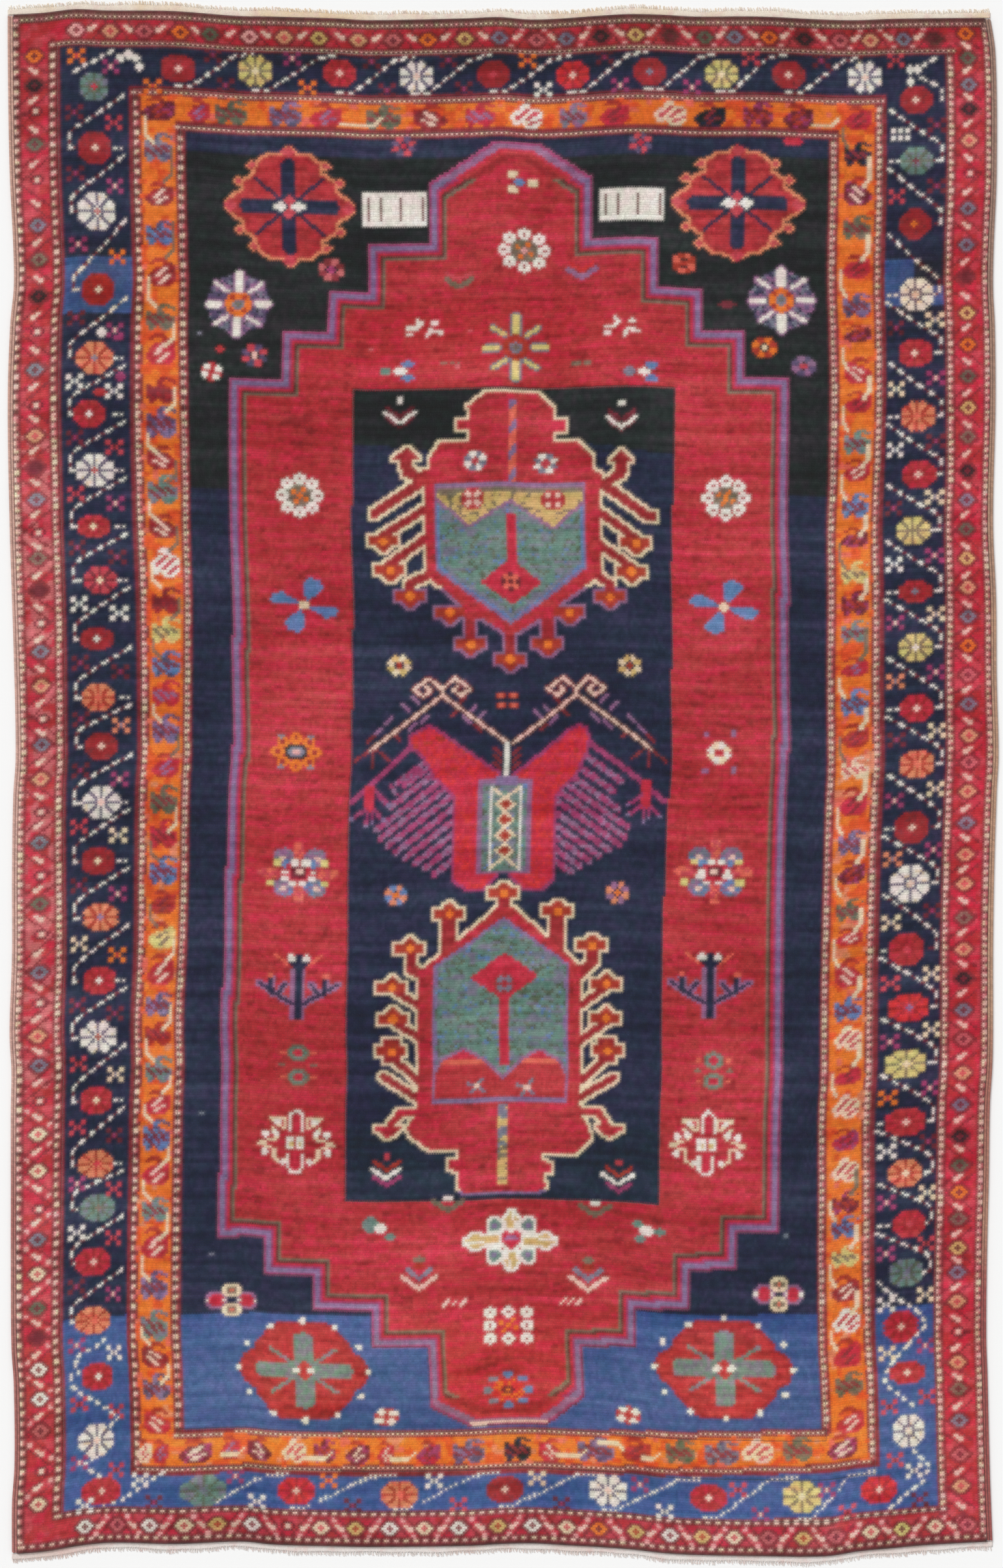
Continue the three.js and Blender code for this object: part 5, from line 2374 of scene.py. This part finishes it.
def unroll_cords(piece):
    """Maps for the turns of the yarn and for the texture of a pair of cords, ring by ring."""
    mesh = piece.data
    count = len(mesh.vertices) // 2
    points = np.zeros(len(mesh.loops), int)
    mesh.loops.foreach_get("vertex_index", points)
    starts = np.zeros(len(mesh.polygons), int)
    totals = np.zeros(len(mesh.polygons), int)
    mesh.polygons.foreach_get("loop_start", starts)
    mesh.polygons.foreach_get("loop_total", totals)
    face = np.repeat(np.arange(len(totals)), totals)
    cord = points // count
    ring = points % count // CORD_SIDES
    side = (points % count % CORD_SIDES).astype(float)
    most = np.maximum.reduceat(side, starts)
    wraps = (most - np.minimum.reduceat(side, starts))[face] > CORD_SIDES / 2
    side[wraps & (side == 0)] = CORD_SIDES
    ring_of_face = np.minimum.reduceat(ring, starts)[face]
    strip_length = math.ceil(count / CORD_SIDES / CORD_STRIPS)
    strip = ring_of_face // strip_length + CORD_STRIPS * cord
    u = (strip + 0.06 + 0.88 * side / CORD_SIDES) / (2 * CORD_STRIPS)
    v = 0.01 + 0.97 * (ring - ring_of_face // strip_length * strip_length) / strip_length
    cap = totals[face] > 4
    u[cap] = 0.001 + 0.0005 * np.cos(side[cap])
    v[cap] = 0.995 + 0.002 * np.sin(side[cap])
    give_map(piece, "OFBake", np.stack([u, v], axis=-1))
    give_map(piece, "Turns", np.stack([side / CORD_SIDES + cord * 7, ring / 2], axis=-1))
    piece.data.uv_layers["Turns"].active_render = True


def side_cords(name, side, material):
    """The two wrapped cords at one side; side is -1 for the left and 1 for the right."""
    rows = np.linspace(0.5, KNOTS_ALONG - 0.5, KNOTS_ALONG)
    x, y = lie(np.full(rows.shape, 0.0 if side < 0 else KNOTS_ACROSS), rows)
    paths = []
    for cord in range(2):
        across = x + side * (SEAM + CORD_WIDTH * (cord + 0.5))
        paths.append(np.stack([across, y, np.full(x.shape, CORD_HEIGHT / 2)], axis=1))
    piece = grown(name, paths, CORD_TREE, {
        "Width": CORD_WIDTH * 1.02,
        "Height": CORD_HEIGHT * 0.99,
        "Turn": YARN_TURN,
        "Slant": 0.0016,
        "Sides": CORD_SIDES,
        "Material": material,
    })
    unroll_cords(piece)
    return piece


# Ends: a narrow web of undyed yarn, and the cut warps beyond it

WEB_DEPTH = 0.009
WEB_THICKNESS = 0.0018
WARP_PITCH = 0.00202
WEFT_PITCH = 0.0011


def undyed_wool(name, plain, stained):
    """Undyed yarn, stained here and there by the dyes."""
    material, tree, shader = new_material(name)
    place = add(tree, "TexCoord").outputs["Object"]
    fibres = use(tree, FIBRES, place=place, fineness=1500.0, drawn_out=(1.0, 0.3, 1.0))
    patches = add(tree, "TexNoise", {"Vector": place, "Scale": 9.0, "Detail": 3.0}).outputs
    ochre = out(tree, "MapRange", {0: patches["Fac"], 1: 0.5, 2: 0.7})
    streaks = add(tree, "TexNoise", {"Vector": place, "Scale": 60.0, "Detail": 2.0}).outputs["Fac"]
    pink = times(tree, out(tree, "MapRange", {0: streaks, 1: 0.5, 2: 0.7}), 0.5)
    colour = blended(tree, ochre, plain, stained)
    colour = blended(tree, pink, colour, (0.80, 0.55, 0.51, 1.0))
    tone = total(tree, 1.02, (minus(tree, fibres["Fibres"], 0.5), 0.7),
                 (minus(tree, fibres["Fluff"], 0.5), 0.3))
    finish_wool(tree, shader, colour, tone, fibres["Fibres"], fibres["Fibres"], 0.0006)
    return material


def web_lines(side):
    """The web's seam with the pile and its outer line, as places across and two places along."""
    row = 0 if side > 0 else KNOTS_ALONG
    columns = np.arange(KNOTS_ACROSS + 1, dtype=float)
    pile_x, pile_y = lie(columns, np.full(columns.shape, float(row)))
    first = pile_x[0] - INSET
    last = pile_x[-1] + INSET
    x = np.linspace(first, last, round((last - first) / WARP_PITCH) + 1)
    seam = np.interp(x, pile_x, pile_y) + side * SEAM
    wander = 0.0009 * np.sin(x * 31 + side) + 0.0006 * np.sin(x * 83 + 2 * side)
    edge = far_end(x) if side > 0 else near_end(x)
    return x, seam, edge + side * (WEB_DEPTH + wander)


def end_web(name, side, material):
    """A closed strip of plain weave, each crossing of warp and weft raised or sunk in turn."""
    x, seam, outer = web_lines(side)
    wefts = round(WEB_DEPTH / WEFT_PITCH)
    share = np.linspace(0, 1, wefts + 1)[:, None]
    across = np.broadcast_to(x, (wefts + 1, len(x)))
    along = lerp(seam, outer, share)
    turns = (np.arange(wefts + 1)[:, None] + np.arange(len(x))) % 2
    rise = 0.00028 * (2 * turns - 1)
    top = np.stack([across, along, WEB_THICKNESS - 0.0003 + rise], axis=-1).reshape(-1, 3)
    under = np.stack([across, along, 0.0003 + rise], axis=-1).reshape(-1, 3)
    order = np.arange(across.size).reshape(across.shape)
    faces = []
    for a, b, c, d in zip(order[:-1, :-1].ravel(), order[:-1, 1:].ravel(), order[1:, 1:].ravel(),
                          order[1:, :-1].ravel()):
        faces.append([a, b, c, d][::side])
        faces.append([a + across.size, d + across.size, c + across.size, b + across.size][::side])
    rim = np.concatenate([order[0, :-1], order[:-1, -1], order[-1, :0:-1], order[:0:-1, 0]])
    for a, b in zip(rim, np.roll(rim, -1)):
        faces.append([b, a, a + across.size, b + across.size][::side])
    piece = new_mesh(name, np.concatenate([top, under]), faces)
    piece.data.shade_smooth()
    piece.data.materials.append(material)
    return piece


def cut_warps(name, side, material):
    x, seam, outer = web_lines(side)
    path = np.stack([x, outer - side * 0.0008, np.full(x.shape, 0.0010)], axis=1)[1:-1]
    return grown(name, [path], WARP_TREE, {
        "Spacing": WARP_PITCH,
        "Length": 0.0062,
        "Length spread": 0.32,
        "Thickness": 0.0014,
        "Lean": 0.42,
        "Heading": 0.0 if side > 0 else math.pi,
        "Seed": 41 if side > 0 else 97,
        "Material": material,
    })


CORD_TREE = make_cord_tree()
WARP_TREE = make_warp_tree()


# Floor, light and camera

PHOTO_HEIGHT = 2407
METRES_TO_A_PIXEL = 0.001069
LENS = 135.0
SENSOR = 36.0


def lay_floor():
    material, tree, shader = new_material("Pale floor", sheen=0.0)
    shader.inputs["Base Color"].default_value = (0.96, 0.96, 0.955, 1.0)
    place = add(tree, "TexCoord").outputs["Object"]
    grain = add(tree, "TexNoise", {"Vector": place, "Scale": 30.0}).outputs["Fac"]
    tree.links.new(maths(tree, "MULTIPLY_ADD", grain, 0.1, 0.75), shader.inputs["Roughness"])
    points = np.array([(-20, -20, -0.0002), (20, -20, -0.0002), (20, 20, -0.0002), (-20, 20, -0.0002)])
    floor = new_mesh("floor", points, [[0, 1, 2, 3]])
    floor.data.materials.append(material)


def light_room():
    world = bpy.data.worlds.new("Soft studio")
    bpy.context.scene.world = world
    world.use_nodes = True
    world.node_tree.nodes["Background"].inputs[0].default_value = (1.0, 1.0, 1.0, 1.0)
    world.node_tree.nodes["Background"].inputs[1].default_value = 0.64
    lamp = bpy.data.lights.new("Window", "SUN")
    lamp.energy = 1.55
    lamp.angle = math.radians(25)
    window = bpy.data.objects.new("Window", lamp)
    window.rotation_euler = (math.radians(-38), math.radians(-30), 0)
    bpy.context.collection.objects.link(window)


def place_camera():
    """Straight above, with the photo's scale on the pile."""
    lens = bpy.data.cameras.new("Camera")
    lens.lens = LENS
    lens.sensor_width = SENSOR
    camera = bpy.data.objects.new("Camera", lens)
    height = PHOTO_HEIGHT * METRES_TO_A_PIXEL * LENS / SENSOR
    camera.location = (-0.0021, -0.0016, PILE_HEIGHT + height)
    bpy.context.collection.objects.link(camera)
    bpy.context.scene.camera = camera


# Make the rug

weave_chart()
corners = pile_corners()
clipped_wool = pile_wool("Clipped wool pile")
wool = worn_wool()
mingled = mingled_wool(wool)
pile = [pile_zone(name, zone, corners, wool, mingled, clipped_wool) for name, zone in pile_zones().items()]
back = foundation(wool, back_wool())
left_wool = cord_wool("Left side wool",
                      (0.60, 0.36, 0.29, 1.0), (0.66, 0.41, 0.35, 1.0), (0.44, 0.17, 0.15, 1.0))
right_wool = cord_wool("Right side wool",
                       (0.36, 0.22, 0.17, 1.0), (0.50, 0.30, 0.20, 1.0), (0.36, 0.10, 0.09, 1.0))
cords = [side_cords("side_cords_left_wrapped", -1, left_wool),
         side_cords("side_cords_right_wrapped", 1, right_wool)]
far_wool = undyed_wool("Far web and warps", (0.88, 0.78, 0.66, 1.0), (0.80, 0.60, 0.38, 1.0))
near_wool = undyed_wool("Near web and warps", (0.84, 0.77, 0.73, 1.0), (0.76, 0.60, 0.54, 1.0))
webs = [end_web("end_web_far_woven", 1, far_wool), end_web("end_web_near_woven", -1, near_wool)]
warps = [cut_warps("cut_warps_far", 1, far_wool), cut_warps("cut_warps_near", -1, near_wool)]

PARTS = [
    ("pile", [back] + pile, ["rug_pile"] * 7),
    ("side_cords", cords, ["side_cords_left", "side_cords_right"]),
    ("warp_ends", webs + warps, ["end_web_far", "end_web_near", "end_web_far", "end_web_near"]),
]
for slot, made, nodes in PARTS:
    for piece, node in zip(made, nodes):
        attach(piece, "root")
        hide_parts(node)

lay_floor()
light_room()
place_camera()
bpy.context.scene.view_settings.view_transform = "Standard"
